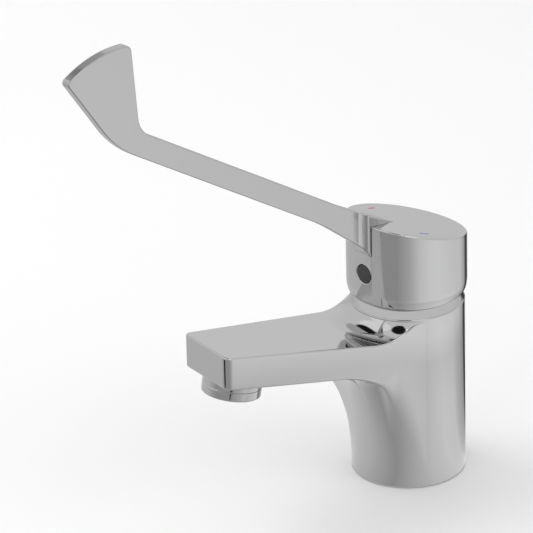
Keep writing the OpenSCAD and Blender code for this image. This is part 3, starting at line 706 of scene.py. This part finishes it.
def spout_column(s, u, point, normal):
    """One line round the spout's skin, from the upright over the top and the edges to the underside's end."""
    inside = u.radius - TOP_INTO_WALL
    end = u.radius - THIN
    out = math.hypot(*point) - end

    # over the top and down the side
    edge = min(s.edge, max(THIN, out / 2))
    q = move(point, normal, -edge)
    r_q = math.hypot(*q)
    blend = min(s.top_blend + BEYOND_CURVE, (r_q - inside) * TOP_SHARE)
    radii = [inside + blend * t for t in shares(CURVE_STEPS)]
    rest = r_q - radii[-1]
    radii += [radii[-1] + rest * t for t in shares(FLAT_STEPS)[1:-1]]
    radii.append(r_q - min(EDGE_GUARD, rest / (2 * FLAT_STEPS)))
    column = [(*spot, spout_top(s, u, spot)) for spot in along_ray(q, radii)]
    top = spout_top(s, u, q)
    for t in shares(EDGE_STEPS):
        high, wide = direction(math.pi / 2 * t)
        column.append((*move(point, normal, -edge * (1 - wide)), top - edge * (1 - high)))

    # the lower edge grows softer towards the upright, where it fades away
    open_end = max(out, 0.0) + LEAST_UNDER_REACH
    reach = open_end * s.under_reach / (open_end**4 + s.under_reach**4) ** 0.25
    soft = held((s.fade - out) / (s.fade * FADE_SHARE))
    full = s.edge + (s.soft_edge - s.edge) * soft * soft * (3 - 2 * soft)
    low_edge = min(full, max(THIN, out * FADE_SHARE))
    q = move(point, normal, -low_edge)
    r_q = math.hypot(*q)
    under = spout_under(s, u, reach, q)
    probe = 0.02
    climb = (spout_under(s, u, reach, move(point, normal, -low_edge * (1 - probe))) - under) / probe
    corner = under + climb
    high_side = top - edge
    low_side = corner + min(math.hypot(low_edge, climb), (high_side - corner) * SIDE_SHARE)
    tall = high_side - low_side
    guard = min(EDGE_GUARD / tall, GUARD_SHARE)
    column += [(*point, high_side - tall * t) for t in (guard, 0.25, 0.5, 0.75, 1 - guard)]
    column += bezier((*point, low_side), (*point, corner), (*q, under), LOW_EDGE_STEPS)

    # along the underside, where there is some, and down into the upright
    limit = end + reach
    radii = []
    begin = 0.0
    if r_q > limit + LEAST_FLAT:
        radii = [r_q - EDGE_GUARD] + [r_q + (limit - r_q) * t for t in shares(FLAT_STEPS)[1:]]
    else:
        begin = math.asin(held((limit - r_q) / reach))
    curve = shares(UNDER_STEPS - len(radii))[1:]
    radii += [limit - reach * math.sin(begin + (math.pi / 2 - begin) * t) for t in curve]
    column += [(*spot, spout_under(s, u, reach, spot)) for spot in along_ray(q, radii)]
    return column


def spout_skin(s, u):
    """The spout's skin, open where it reaches into the upright."""
    bm = bmesh.new()
    half = spout_plan(s, u.radius - 2 * THIN)
    plan = [((-p[0], p[1]), (-n[0], n[1])) for p, n in half[:0:-1]] + half
    columns = [[bm.verts.new((x, -y, z)) for x, y, z in spout_column(s, u, p, n)] for p, n in plan]
    for left, right in zip(columns, columns[1:]):
        for j in range(len(left) - 1):
            bm.faces.new((left[j], left[j + 1], right[j + 1], right[j]))
    bmesh.ops.recalc_face_normals(bm, faces=bm.faces)
    return bm


class TAP_OT_body(bpy.types.Operator):
    """Makes the upright and the spout as one smooth chrome piece"""

    bl_idname = "tap.body"
    bl_label = "Upright and spout"

    def execute(self, context):
        u = context.scene.tap_upright
        body = from_bmesh("upright_and_spout", lathe(guarded(self.section(u)), closed=False))
        sockets = [(side * u.tail_x, -u.tail_y, u.tail_radius) for side in (-1, 1)]
        for x, y, radius in (*sockets, (0.0, u.stud_y, u.stud_radius)):
            tool = disc_tool(radius, u.foot_height - TOOL_OVERLAP, u.foot_height + u.socket_depth, 64)
            combine(body, "DIFFERENCE", tool, Matrix.Translation((x, y, 0)))
        skin = spout_skin(context.scene.tap_spout, u)
        skin.from_mesh(body.data)
        skin.to_mesh(body.data)
        skin.free()
        body.data.shade_smooth()
        body.data.set_sharp_from_angle(angle=math.radians(34))
        place(body, "tap_body", "chrome_body", polished_chrome(), "body")
        return {"FINISHED"}

    def section(self, u):
        """Half of the upright's section: hollow, seal groove, outside, bores and seat."""
        groove_wall = 0.00095
        groove_top = 0.0015
        corners = [
            (0.0, u.foot_height, 0),
            (u.foot_inner, u.foot_height, 0.0006),
            (u.foot_inner, 0.0, 0),
            (u.foot_inner + groove_wall, 0.0, 0),
            (u.foot_inner + groove_wall, groove_top, 0),
            (u.radius - groove_wall, groove_top, 0),
            (u.radius - groove_wall, 0.0, 0),
            (u.radius, 0.0, 0.0004),
            (u.radius, u.rim, u.rim_edge),
            (u.nut_radius, u.rim, 0.0002),
            (u.nut_radius, u.nut_seat, 0),
            (u.seat_radius, u.nut_seat, 0),
            (u.seat_radius, u.seat, 0),
            (0.0, u.seat, 0),
        ]
        return rounded(corners, closed=False)


# The trim ring and the outlet ring


class TAP_OT_rings(bpy.types.Operator):
    """Makes the trim ring under the head and the ring of the outlet"""

    bl_idname = "tap.rings"
    bl_label = "Trim ring and outlet ring"

    def execute(self, context):
        self.trim_ring(context.scene.tap_rings, context.scene.tap_upright)
        self.outlet_ring(context.scene.tap_rings, context.scene.tap_spout)
        return {"FINISHED"}

    def ring(self, name, profile):
        return from_bmesh(name, lathe(profile), sharp=math.radians(40))

    def trim_ring(self, r, u):
        """The ring's foot with the hollow dome over it, whose centre is on the tilting pin."""
        drop = u.rim - r.pivot
        outer = math.hypot(r.foot_radius, drop)
        inner = outer - r.wall
        outside = (outer, math.asin(drop / outer), math.acos(r.dome_hole / outer), 32)
        inside = (inner, math.acos(r.dome_hole / inner), math.acos(r.bore / inner), 12)
        profile = [(r.bore, u.rim)]
        for radius, start, end, steps in (outside, inside):
            for t in shares(steps):
                profile.append(move((0.0, r.pivot), direction(start + (end - start) * t), radius))
        ring = self.ring("trim_ring_skin", guarded(profile))
        place(ring, "tap_body", "chrome_trim", polished_chrome(), "trim_ring")

    def outlet_ring(self, r, s):
        """The ring below the spout's tip, with a fine line round it and a lip at its mouth."""
        radius, bore = r.outlet_radius, r.outlet_bore
        groove = r.outlet_groove
        low = -r.outlet_drop
        groove_z = low * 0.48
        neck = 0.0120
        neck_top = 0.0055
        mouth = bore - 0.0012
        lip_top = low + 0.001
        corners = [
            (bore, neck_top, 0),
            (neck, neck_top, 0),
            (neck, 0.0, 0),
            (radius, 0.0, 0),
            (radius, groove_z + groove, 0.00012),
            (radius - groove, groove_z, 0.00005),
            (radius, groove_z - groove, 0.00012),
            (radius, low, 0.0006),
            (mouth, low, 0.0003),
            (mouth, lip_top, 0.0001),
            (bore, lip_top, 0),
        ]
        ring = self.ring("outlet_ring_skin", guarded(rounded(corners), closed=True))
        y = s.reach - r.outlet_setback
        under = s.tip_top - s.tip_depth - math.tan(s.under_climb) * (s.reach - y)
        ring.data.transform(Matrix.Translation((0, -y, under)) @ Matrix.Rotation(-s.under_climb, 4, "X"))
        place(ring, "tap_body", "chrome_trim", polished_chrome(), "aerator_housing")


# The head

CUT_ABOVE_HEAD = 0.02


def root_plan(v, head_radius, extra):
    """The lever's root from above, as (side, out): a wedge with its point towards the axis."""
    half_w, half_t = v.root_width / 2, v.plate / 2
    turn = math.acos(1 - (half_w - half_t) / v.flare)
    wedge_out = head_radius - 0.002
    side_out = head_radius + 0.001
    half = [(0.0, v.root_point - extra * 3), (half_w + extra, wedge_out)]
    for t in shares(18):
        a = turn * (1 - t)
        side = half_t + extra + v.flare * (1 - math.cos(a))
        half.append((side, side_out + v.flare * (math.sin(turn) - math.sin(a))))
    half.append((half_t + extra, 2 * v.arm_end))
    return [(x, -y) for x, y in half] + [(-x, -y) for x, y in half[:0:-1]]


def plug_axis(h):
    return Matrix.Translation((0, 0, h.plug_height)) @ Matrix.Rotation(math.pi / 2, 4, "X")


class TAP_OT_head(bpy.types.Operator):
    """Makes the head with its slanted top, the lever's seam, the flat for the plug and the mark pockets"""

    bl_idname = "tap.head"
    bl_label = "Head"

    def execute(self, context):
        h = context.scene.tap_head
        v = context.scene.tap_lever
        above = h.top + CUT_ABOVE_HEAD
        below = h.low - TOOL_OVERLAP
        outside = [(0.0, h.low)]
        for t in shares(16):
            a = math.pi / 2 * t
            radius = h.low_radius + (h.radius - h.low_radius) * math.sin(a)
            outside.append((radius, h.low + h.tuck * (1 - math.cos(a))))
        outside += [(h.radius, above), (0.0, above)]
        head = from_bmesh("head_shell", self.slanted(outside, h, 0.0))
        in_radius = h.radius - h.wall
        lip_top = h.low + 0.0008
        shoulder = h.low + h.tuck - 0.001
        hollow = [(0.0, below), (h.low_bore, below), (h.low_bore, lip_top)]
        hollow += [(in_radius, shoulder), (in_radius, above), (0.0, above)]
        span = h.radius
        plug_gap = 0.00008
        plug_bore = (h.radius - 0.006, h.radius + 0.002)
        cuts = [
            (self.slanted(hollow, h, h.wall),),
            (prism(root_plan(v, h.radius, h.seam), v.root_low, h.top + 1.5 * CUT_ABOVE_HEAD),),
            (box((-span, -2 * span, below), (span, -h.facet, h.facet_top)),),
            (disc_tool(h.plug_radius + plug_gap, *plug_bore), plug_axis(h)),
            self.mark_pocket(h, h.cold_turn),
            self.mark_pocket(h, -h.hot_turn),
        ]
        for cut in cuts:
            combine(head, "DIFFERENCE", *cut)
        soften_edges(head, h.edge, lambda p: self.share(h, p), math.radians(32))
        head.data.transform(head_turn())
        place(head, "handle", "chrome_body", polished_chrome(), "head")
        return {"FINISHED"}

    def share(self, h, p):
        """How much of the rim's rounding an edge gets: the seam and the pockets stay crisp."""
        whole, crisp, low = 1.0, 0.1, 0.4
        on_side = math.hypot(p.x, p.y) > h.radius - 0.0004
        on_top = abs(h.top - p.y * math.tan(h.slope) - p.z) < 0.0002
        if on_side and on_top:
            return whole
        return crisp if p.z > h.facet_top - 0.001 else low

    def slanted(self, profile, h, drop):
        """A turned form, cut by a plane that slopes like the head's top."""
        bm = lathe(profile, closed=False)
        cut = bmesh.ops.bisect_plane(
            bm,
            geom=bm.verts[:] + bm.edges[:] + bm.faces[:],
            plane_co=Vector((0, 0, h.top - drop)),
            plane_no=Vector((0, math.sin(h.slope), math.cos(h.slope))),
            clear_outer=True,
        )
        edges = [e for e in cut["geom_cut"] if isinstance(e, bmesh.types.BMEdge)]
        bmesh.ops.contextual_create(bm, geom=edges)
        return bm

    def mark_pocket(self, h, turn):
        """The tool that cuts the pocket of a colour mark, and its place on the slanted top."""
        gap = 0.00005
        deep = 0.0006
        out, side = move((0.0, 0.0), direction(turn), h.radius - h.mark_in)
        half_l, half_w = h.mark_length / 2 + gap, h.mark_width / 2 + gap
        tool = box((-half_l, -half_w, -deep), (half_l, half_w, TOOL_OVERLAP))
        spot = Matrix.Translation((side, -out, h.top + out * math.tan(h.slope)))
        return tool, spot @ Matrix.Rotation(-h.slope, 4, "X") @ Matrix.Rotation(turn, 4, "Z")


# The lever

CUT_TO_HEIGHT = 0.4


def lever_outline(v, h):
    """The lever from the side, as (out, height)."""
    slope = math.tan(v.arm_climb)
    point = (v.root_point, h.top + v.root_point * math.tan(h.slope))
    start = (v.arm_start, point[1] + (v.arm_start - v.root_point) * math.tan(v.root_climb))
    bend = (v.arm_end, start[1] + (v.arm_end - v.arm_start) * slope)
    arm = direction(v.arm_climb)
    under = (v.arm_start + v.arm_depth * arm[1], start[1] - v.arm_depth * arm[0])

    # the paddle: its heel under the bend, and its end, an arc whose ends lie along two directions
    heel_out = v.arm_end + 0.0131
    heel = (heel_out, under[1] + (heel_out - under[0]) * slope)
    centre = (bend[0] + v.arc_out, bend[1] - v.arc_down)
    way_in, way_out = unit((-0.09, 1.0)), unit((0.5, 1.0))
    inner, outer = move(centre, way_in, v.arc), move(centre, way_out, v.arc)
    tangent_in, tangent_out = (-way_in[1], way_in[0]), (-way_out[1], way_out[0])
    inner_corner = meet(bend, direction(v.inner_climb), inner, tangent_in)
    peak = meet(inner, tangent_in, outer, tangent_out)
    outer_corner = meet(heel, direction(v.outer_climb), outer, tangent_out)

    # the root's end in the head
    low = (h.facet, v.root_low)
    root_heel = (low[0] + v.heel_height / math.tan(v.heel_climb), low[1] + v.heel_height)
    under_corner = meet(root_heel, direction(v.root_under), under, arm)
    corners = [
        (*point, 0),
        (*start, 0.060),
        (*bend, 0.0115),
        (*inner_corner, 0.0032),
        (*peak, v.arc),
        (*outer_corner, 0.002),
        (*heel, 0.055),
        (*under_corner, 0.150),
        (*root_heel, 0.004),
        (*low, 0),
        (v.root_point, v.root_low, 0),
    ]
    return rounded(corners, math.radians(1.5))


class TAP_OT_lever(bpy.types.Operator):
    """Makes the flat lever with its flared root and its paddle"""

    bl_idname = "tap.lever"
    bl_label = "Lever"

    def execute(self, context):
        h = context.scene.tap_head
        v = context.scene.tap_lever
        look = context.scene.tap_finishes
        side_view = prism(lever_outline(v, h), -v.root_width, v.root_width)
        stand = Matrix(((0, 0, 1, 0), (-1, 0, 0, 0), (0, 1, 0, 0), (0, 0, 0, 1)))
        bmesh.ops.transform(side_view, matrix=stand, verts=side_view.verts)
        lever = from_bmesh("lever_plate", side_view)
        combine(lever, "INTERSECT", prism(root_plan(v, h.radius, 0.0), 0.0, CUT_TO_HEIGHT))
        root_end = v.root_low + 0.0005
        soften_edges(lever, v.edge, lambda p: 0.1 if p.z < root_end else 1.0, math.radians(28))
        lever.data.transform(head_turn())
        plate = chrome_plate("lever_chrome", tone(look.chrome, 0.88), look.lever_gloss, brushed=0.01)
        place(lever, "handle", "chrome_lever", plate, "lever")
        return {"FINISHED"}


# The plug, the marks and what lies inside


class TAP_OT_plug(bpy.types.Operator):
    """Makes the plug that covers the grub screw"""

    bl_idname = "tap.plug"
    bl_label = "Plug"

    def execute(self, context):
        h = context.scene.tap_head
        face = h.facet - 0.00015
        back = face - 0.0022
        corners = [(0.0, back, 0), (h.plug_radius, back, 0.0002)]
        corners += [(h.plug_radius, face, 0.00045), (0.0, face, 0)]
        profile = guarded(rounded(corners, closed=False))
        plug = from_bmesh("plug_cap", lathe(profile, 96, closed=False), sharp=math.radians(50))
        plug.data.transform(head_turn() @ plug_axis(h))
        plastic = moulded("plug_plastic", context.scene.tap_finishes.plug, 0.32)
        place(plug, "handle", "plug_grey", plastic, "index_plug")
        return {"FINISHED"}


SEALS = "base_seal ring_seal port_seals disc_seals aerator_washer"


class TAP_OT_carried(bpy.types.Operator):
    """Gives the solids that keep their CAD form their finishes: marks, stem, screws, cartridge and seals"""

    bl_idname = "tap.carried"
    bl_label = "Marks, cartridge, screws and seals"

    def execute(self, context):
        look = context.scene.tap_finishes
        finishes = (
            (turned_metal("turned_steel", look.steel, 0.28), "stem stem_pin grub_screw lever_screw"),
            (moulded("seal_rubber", look.rubber, 0.62, 0.3), SEALS),
            (moulded("light_plastic", look.light_plastic, 0.42), "cartridge_base cartridge_housing"),
            (moulded("grey_plastic", look.grey_plastic, 0.45), "stem_carrier disc_carrier"),
            (moulded("fired_ceramic", look.ceramic, 0.14, 0.03), "fixed_disc moving_disc"),
            (moulded("hot_enamel", look.hot, 0.2, 0.04), "hot_mark"),
            (moulded("cold_enamel", look.cold, 0.2, 0.04), "cold_mark"),
            (turned_metal("bare_brass", look.brass, 0.3), "cartridge_nut"),
            (moulded("insert_plastic", look.light_plastic, 0.35), "aerator_insert"),
        )
        done = {node: material for material, nodes in finishes for node in nodes.split()}
        for node, material in done.items():
            for holder in NODES[node].material_slots:
                holder.material = material
        bare = {piece.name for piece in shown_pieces()} & set(NODES) - set(done)
        if bare:
            raise RuntimeError(f"no finish for {sorted(bare)}")
        return {"FINISHED"}


# The studio

AIM_POINT = Vector((0, 0, 0.08))
# cards in the air, painted highlights and dark reflections that only the chrome sees: azimuth, elevation,
# width and height in degrees, glow, and distance in metres
CARDS = {
    "light_top_card": (-25, 58, 60, 34, 1.05, 1.6),
    "light_right_card": (85, 56, 34, 30, 1.6, 1.55),
    "dark_front_card": (46, 59, 24, 40, 0.01, 1.5),
    "dark_left_card": (-90, 61, 38, 28, 0.01, 1.5),
    "grey_left_card": (-107, 50, 30, 26, 0.5, 1.4),
}
CARD_FADE = 0.22
# dark strips on the floor, painted dark reflection lines that only the chrome sees: the arc's centre, its
# ends in degrees, and its inner and outer radius
STRIPS = {
    "corner_strip_card": ((0.016, -0.106), -18, 4, 0.146, 0.194),
    "outlet_strip_card": ((0.01, -0.1), 47, 62, 0.26, 0.40),
}
STRIP_STEPS = 12
STRIP_GLOW = 0.01
# the painted floor reflection in the chrome: tones by azimuth in degrees, far from the tap and near it
# they began as medians of the photograph's grey levels by mirrored direction
FAR_TONES = [
    *((-90, 0.50), (-55, 0.55), (-40, 0.55), (-32, 0.54), (-4, 0.336), (36, 0.328), (59, 0.48), (78, 0.69)),
    *((96, 0.77), (112, 0.79), (170, 0.68), (187, 0.40), (195, 0.05), (206, 0.05), (216, 0.48), (270, 0.50)),
]
NEAR_TONES = [
    *((-87, 0.64), (-46, 0.80), (-6, 0.69), (21, 0.54), (37, 0.44), (57, 0.59), (88, 0.82), (121, 0.96)),
    *((148, 0.90), (159, 0.70), (184, 0.44), (195, 0.05), (206, 0.05), (216, 0.60), (270, 0.62)),
]
# closeness to the tap, from 0 to 1, over which the near tones take over and the far lift ends
NEAR_START, NEAR_FULL = 0.8, 0.9
LIFT_START, LIFT_END = 0.828, 0.858
FAR_LIFT = 0.25
# the glowing disc on the floor that paints the floor's reflection in the chrome: its radii and its height
DISC_INNER, DISC_OUTER, DISC_HEIGHT = 0.0255, 2.0, 0.0005
# the surround is darker at the horizon, up to a direction that rises this much
HORIZON_TONE, HORIZON_TOP = 0.86, 0.2


def way_to(azimuth, elevation):
    """The direction from the tap at an azimuth, counted from the front, and an elevation."""
    level = math.cos(elevation)
    return Vector((math.sin(azimuth) * level, -math.cos(azimuth) * level, math.sin(elevation)))


def flat_mesh(name, corners, faces=((0, 1, 2, 3),)):
    mesh = bpy.data.meshes.new(name)
    mesh.from_pydata(corners, [], faces)
    return mesh


def square(name, half):
    return flat_mesh(name, [(-half, -half, 0), (half, -half, 0), (half, half, 0), (-half, half, 0)])


def card(name, mesh, glow_of):
    """A glowing or dark card that only the chrome sees: a painted reflection."""
    obj = add_object(name, mesh)
    shade = Shade(bpy.data.materials.new(name))
    shade.add("ShaderNodeOutputMaterial", {}, {"Surface": glow_of(shade)})
    mesh.materials.append(shade.owner)
    obj.visible_camera = False
    obj.visible_diffuse = False
    obj.visible_shadow = False
    obj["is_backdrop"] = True
    return obj


def oval_card(name, azimuth, elevation, width, height, glow, distance):
    """A soft-edged oval card in a direction from the tap, as wide and high as the angles that it spans: a
    painted highlight or dark reflection in the chrome.
    """

    def glow_of(shade):
        edge = {"Value": shade.gradient("SPHERICAL"), "From Max": CARD_FADE}
        mask = shade.add("ShaderNodeMapRange", {"interpolation_type": "SMOOTHSTEP"}, edge)
        clear = shade.add("ShaderNodeBsdfTransparent")
        return shade.add("ShaderNodeMixShader", {}, {0: mask, 1: clear, 2: shade.glow((1, 1, 1), glow)})

    obj = card(name, square(name, 1), glow_of)
    way = way_to(math.radians(azimuth), math.radians(elevation))
    half_width, half_height = (distance * math.tan(math.radians(span / 2)) for span in (width, height))
    obj.location = way * distance + AIM_POINT
    obj.rotation_euler = way.to_track_quat("Z", "Y").to_euler()
    obj.scale = (half_width, half_height, 1)


def dark_strip(name, spot, start, end, inner, outer):
    """A dark sheet on the floor, an arc about a spot, which only the metal just above that spot mirrors: a
    painted dark reflection line.
    """
    turns = [math.radians(start + (end - start) * t) for t in shares(STRIP_STEPS)]
    places = [(r, a) for r in (inner, outer) for a in turns]
    height = 2 * DISC_HEIGHT
    corners = [(spot[0] + r * math.sin(a), spot[1] - r * math.cos(a), height) for r, a in places]
    row = len(turns)
    faces = [(i, i + 1, i + row + 1, i + row) for i in range(STRIP_STEPS)]
    card(name, flat_mesh(name, corners, faces), lambda shade: shade.glow((1, 1, 1), STRIP_GLOW))


def soft_light(name, power_of, side, centre):
    light = bpy.data.lights.new(name, "AREA")
    light.shape = "SQUARE"
    light.size = side
    light.energy = power_of
    obj = add_object(name, light)
    obj.location = centre
    obj.rotation_euler = (AIM_POINT - Vector(centre)).to_track_quat("-Z", "Y").to_euler()
    obj.visible_glossy = False


class TAP_OT_stage(bpy.types.Operator):
    """Sets the pale floor, the soft lights, the painted reflections that only the chrome sees and the camera
    """

    bl_idname = "tap.stage"
    bl_label = "Floor, lights and camera"

    def execute(self, context):
        studio = context.scene.tap_studio
        self.floor(studio)
        self.surround(context, studio)
        # painted reflections that only the chrome sees: the floor disc, the cards and the strips
        self.painted_floor_reflection()
        for name, values in CARDS.items():
            oval_card(name, *values)
        for name, values in STRIPS.items():
            dark_strip(name, *values)
        soft_light("key_light", studio.key, 0.9, (-0.7, -0.5, 1.2))
        soft_light("fill_light", studio.fill, 0.8, (1.1, 0.5, 0.9))
        self.camera(context, studio)
        return {"FINISHED"}

    def floor(self, studio):
        mesh = square("floor", 4.0)
        obj = add_object("floor", mesh)
        shade = Shade(bpy.data.materials.new("floor"))
        mottle = shade.noise(3.0, detail=2.0)
        colour_now = shade.mix(mottle, tone(studio.floor, 0.99), tone(studio.floor, 1.01))
        mesh.materials.append(shade.surface(base_color=colour_now, roughness=0.9))
        obj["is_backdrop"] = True

    def painted_floor_reflection(self):
        """A painted floor reflection that only the chrome sees: bright at the foot and on the right, dark
        behind.
        """

        def glow_of(shade):
            turn = shade.gradient("RADIAL")
            fall = shade.gradient("SPHERICAL")
            tones = []
            for around in (FAR_TONES, NEAR_TONES):
                stops = [((azimuth + 90) / 360, (glow,) * 3) for azimuth, glow in around]
                tones.append(shade.add("ShaderNodeValToRGB", {"stops": stops}, {"Fac": turn}))
            mixed = shade.mix(shade.between(fall, 0.0, 1.0, NEAR_START, NEAR_FULL), *tones)
            lift = 1 + FAR_LIFT * (1 - shade.between(fall, 0.0, 1.0, LIFT_START, LIFT_END))
            lifted = shade.add("ShaderNodeVectorMath", {"operation": "SCALE"}, {0: mixed, "Scale": lift})
            return shade.glow(lifted, 1.0)

        disc = lathe([(DISC_INNER, DISC_HEIGHT), (DISC_OUTER, DISC_HEIGHT)], 64, closed=False)
        card("floor_card", mesh_of("floor_card", disc), glow_of)

    def surround(self, context, studio):
        world = bpy.data.worlds.new("surround")
        context.scene.world = world
        context.scene.view_settings.view_transform = "Standard"
        shade = Shade(world)
        height = shade.add("ShaderNodeSeparateXYZ", {}, {"Vector": shade.add("ShaderNodeTexCoord")}, "Z")
        high = shade.between(height, 0.0, 1.0, 0.0, HORIZON_TOP)
        colour_now = shade.mix(high, (HORIZON_TONE,) * 3, (1, 1, 1))
        sky = shade.add("ShaderNodeBackground", {}, {"Color": colour_now, "Strength": studio.sky})
        shade.add("ShaderNodeOutputWorld", {}, {"Surface": sky})

    def camera(self, context, studio):
        a, r = studio.azimuth, studio.roll
        back = way_to(a, studio.elevation)
        right = Vector((math.cos(a), math.sin(a), 0))
        up = back.cross(right)
        right, up = math.cos(r) * right + math.sin(r) * up, math.cos(r) * up - math.sin(r) * right
        turn = Matrix((right, up, back)).transposed()
        data = bpy.data.cameras.new("camera")
        data.lens = studio.lens
        data.sensor_width = 36.0
        data.clip_end = 50.0
        camera = add_object("camera", data)
        camera.matrix_world = turn.to_4x4()
        camera.location = turn @ Vector((-studio.aim_x, -studio.aim_y, studio.distance))
        context.scene.camera = camera


class TAP_PT_panel(bpy.types.Panel):
    """Lists the pieces of the tap and their sizes"""

    bl_idname = "TAP_PT_panel"
    bl_label = "Elbow lever tap"
    bl_space_type = "VIEW_3D"
    bl_region_type = "UI"
    bl_category = "Tap"

    def draw(self, context):
        for title, name, group, operators in PARTS:
            area = self.layout.box()
            area.label(text=title)
            for operator in operators:
                area.operator(operator.bl_idname)
            for key in group.__annotations__:
                area.prop(getattr(context.scene, name), key)


PARTS = (
    ("Upright", "tap_upright", TapUprightSizes, (TAP_OT_body,)),
    ("Spout", "tap_spout", TapSpoutSizes, ()),
    ("Rings", "tap_rings", TapRingSizes, (TAP_OT_rings,)),
    ("Head", "tap_head", TapHeadSizes, (TAP_OT_head, TAP_OT_plug)),
    ("Lever", "tap_lever", TapLeverSizes, (TAP_OT_lever,)),
    ("Finishes", "tap_finishes", TapFinishes, (TAP_OT_carried,)),
    ("Studio", "tap_studio", TapStudio, (TAP_OT_stage,)),
)
GROUPS = {name: group for _, name, group, _ in PARTS}
CLASSES = (*GROUPS.values(), *(operator for part in PARTS for operator in part[3]), TAP_PT_panel)


def register():
    for cls in CLASSES:
        bpy.utils.register_class(cls)
    for name, group in GROUPS.items():
        setattr(bpy.types.Scene, name, PointerProperty(type=group))


def unregister():
    for name in GROUPS:
        delattr(bpy.types.Scene, name)
    for cls in reversed(CLASSES):
        bpy.utils.unregister_class(cls)


def main():
    register()
    bpy.ops.tap.body()
    bpy.ops.tap.rings()
    bpy.ops.tap.head()
    bpy.ops.tap.lever()
    bpy.ops.tap.plug()
    bpy.ops.tap.carried()
    bpy.ops.tap.stage()
    boxes = {"cad": CAD_BOX, "visual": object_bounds()}
    {key: [list(corner) for corner in value] for key, value in boxes.items()}


if __name__ == "__main__":
    main()
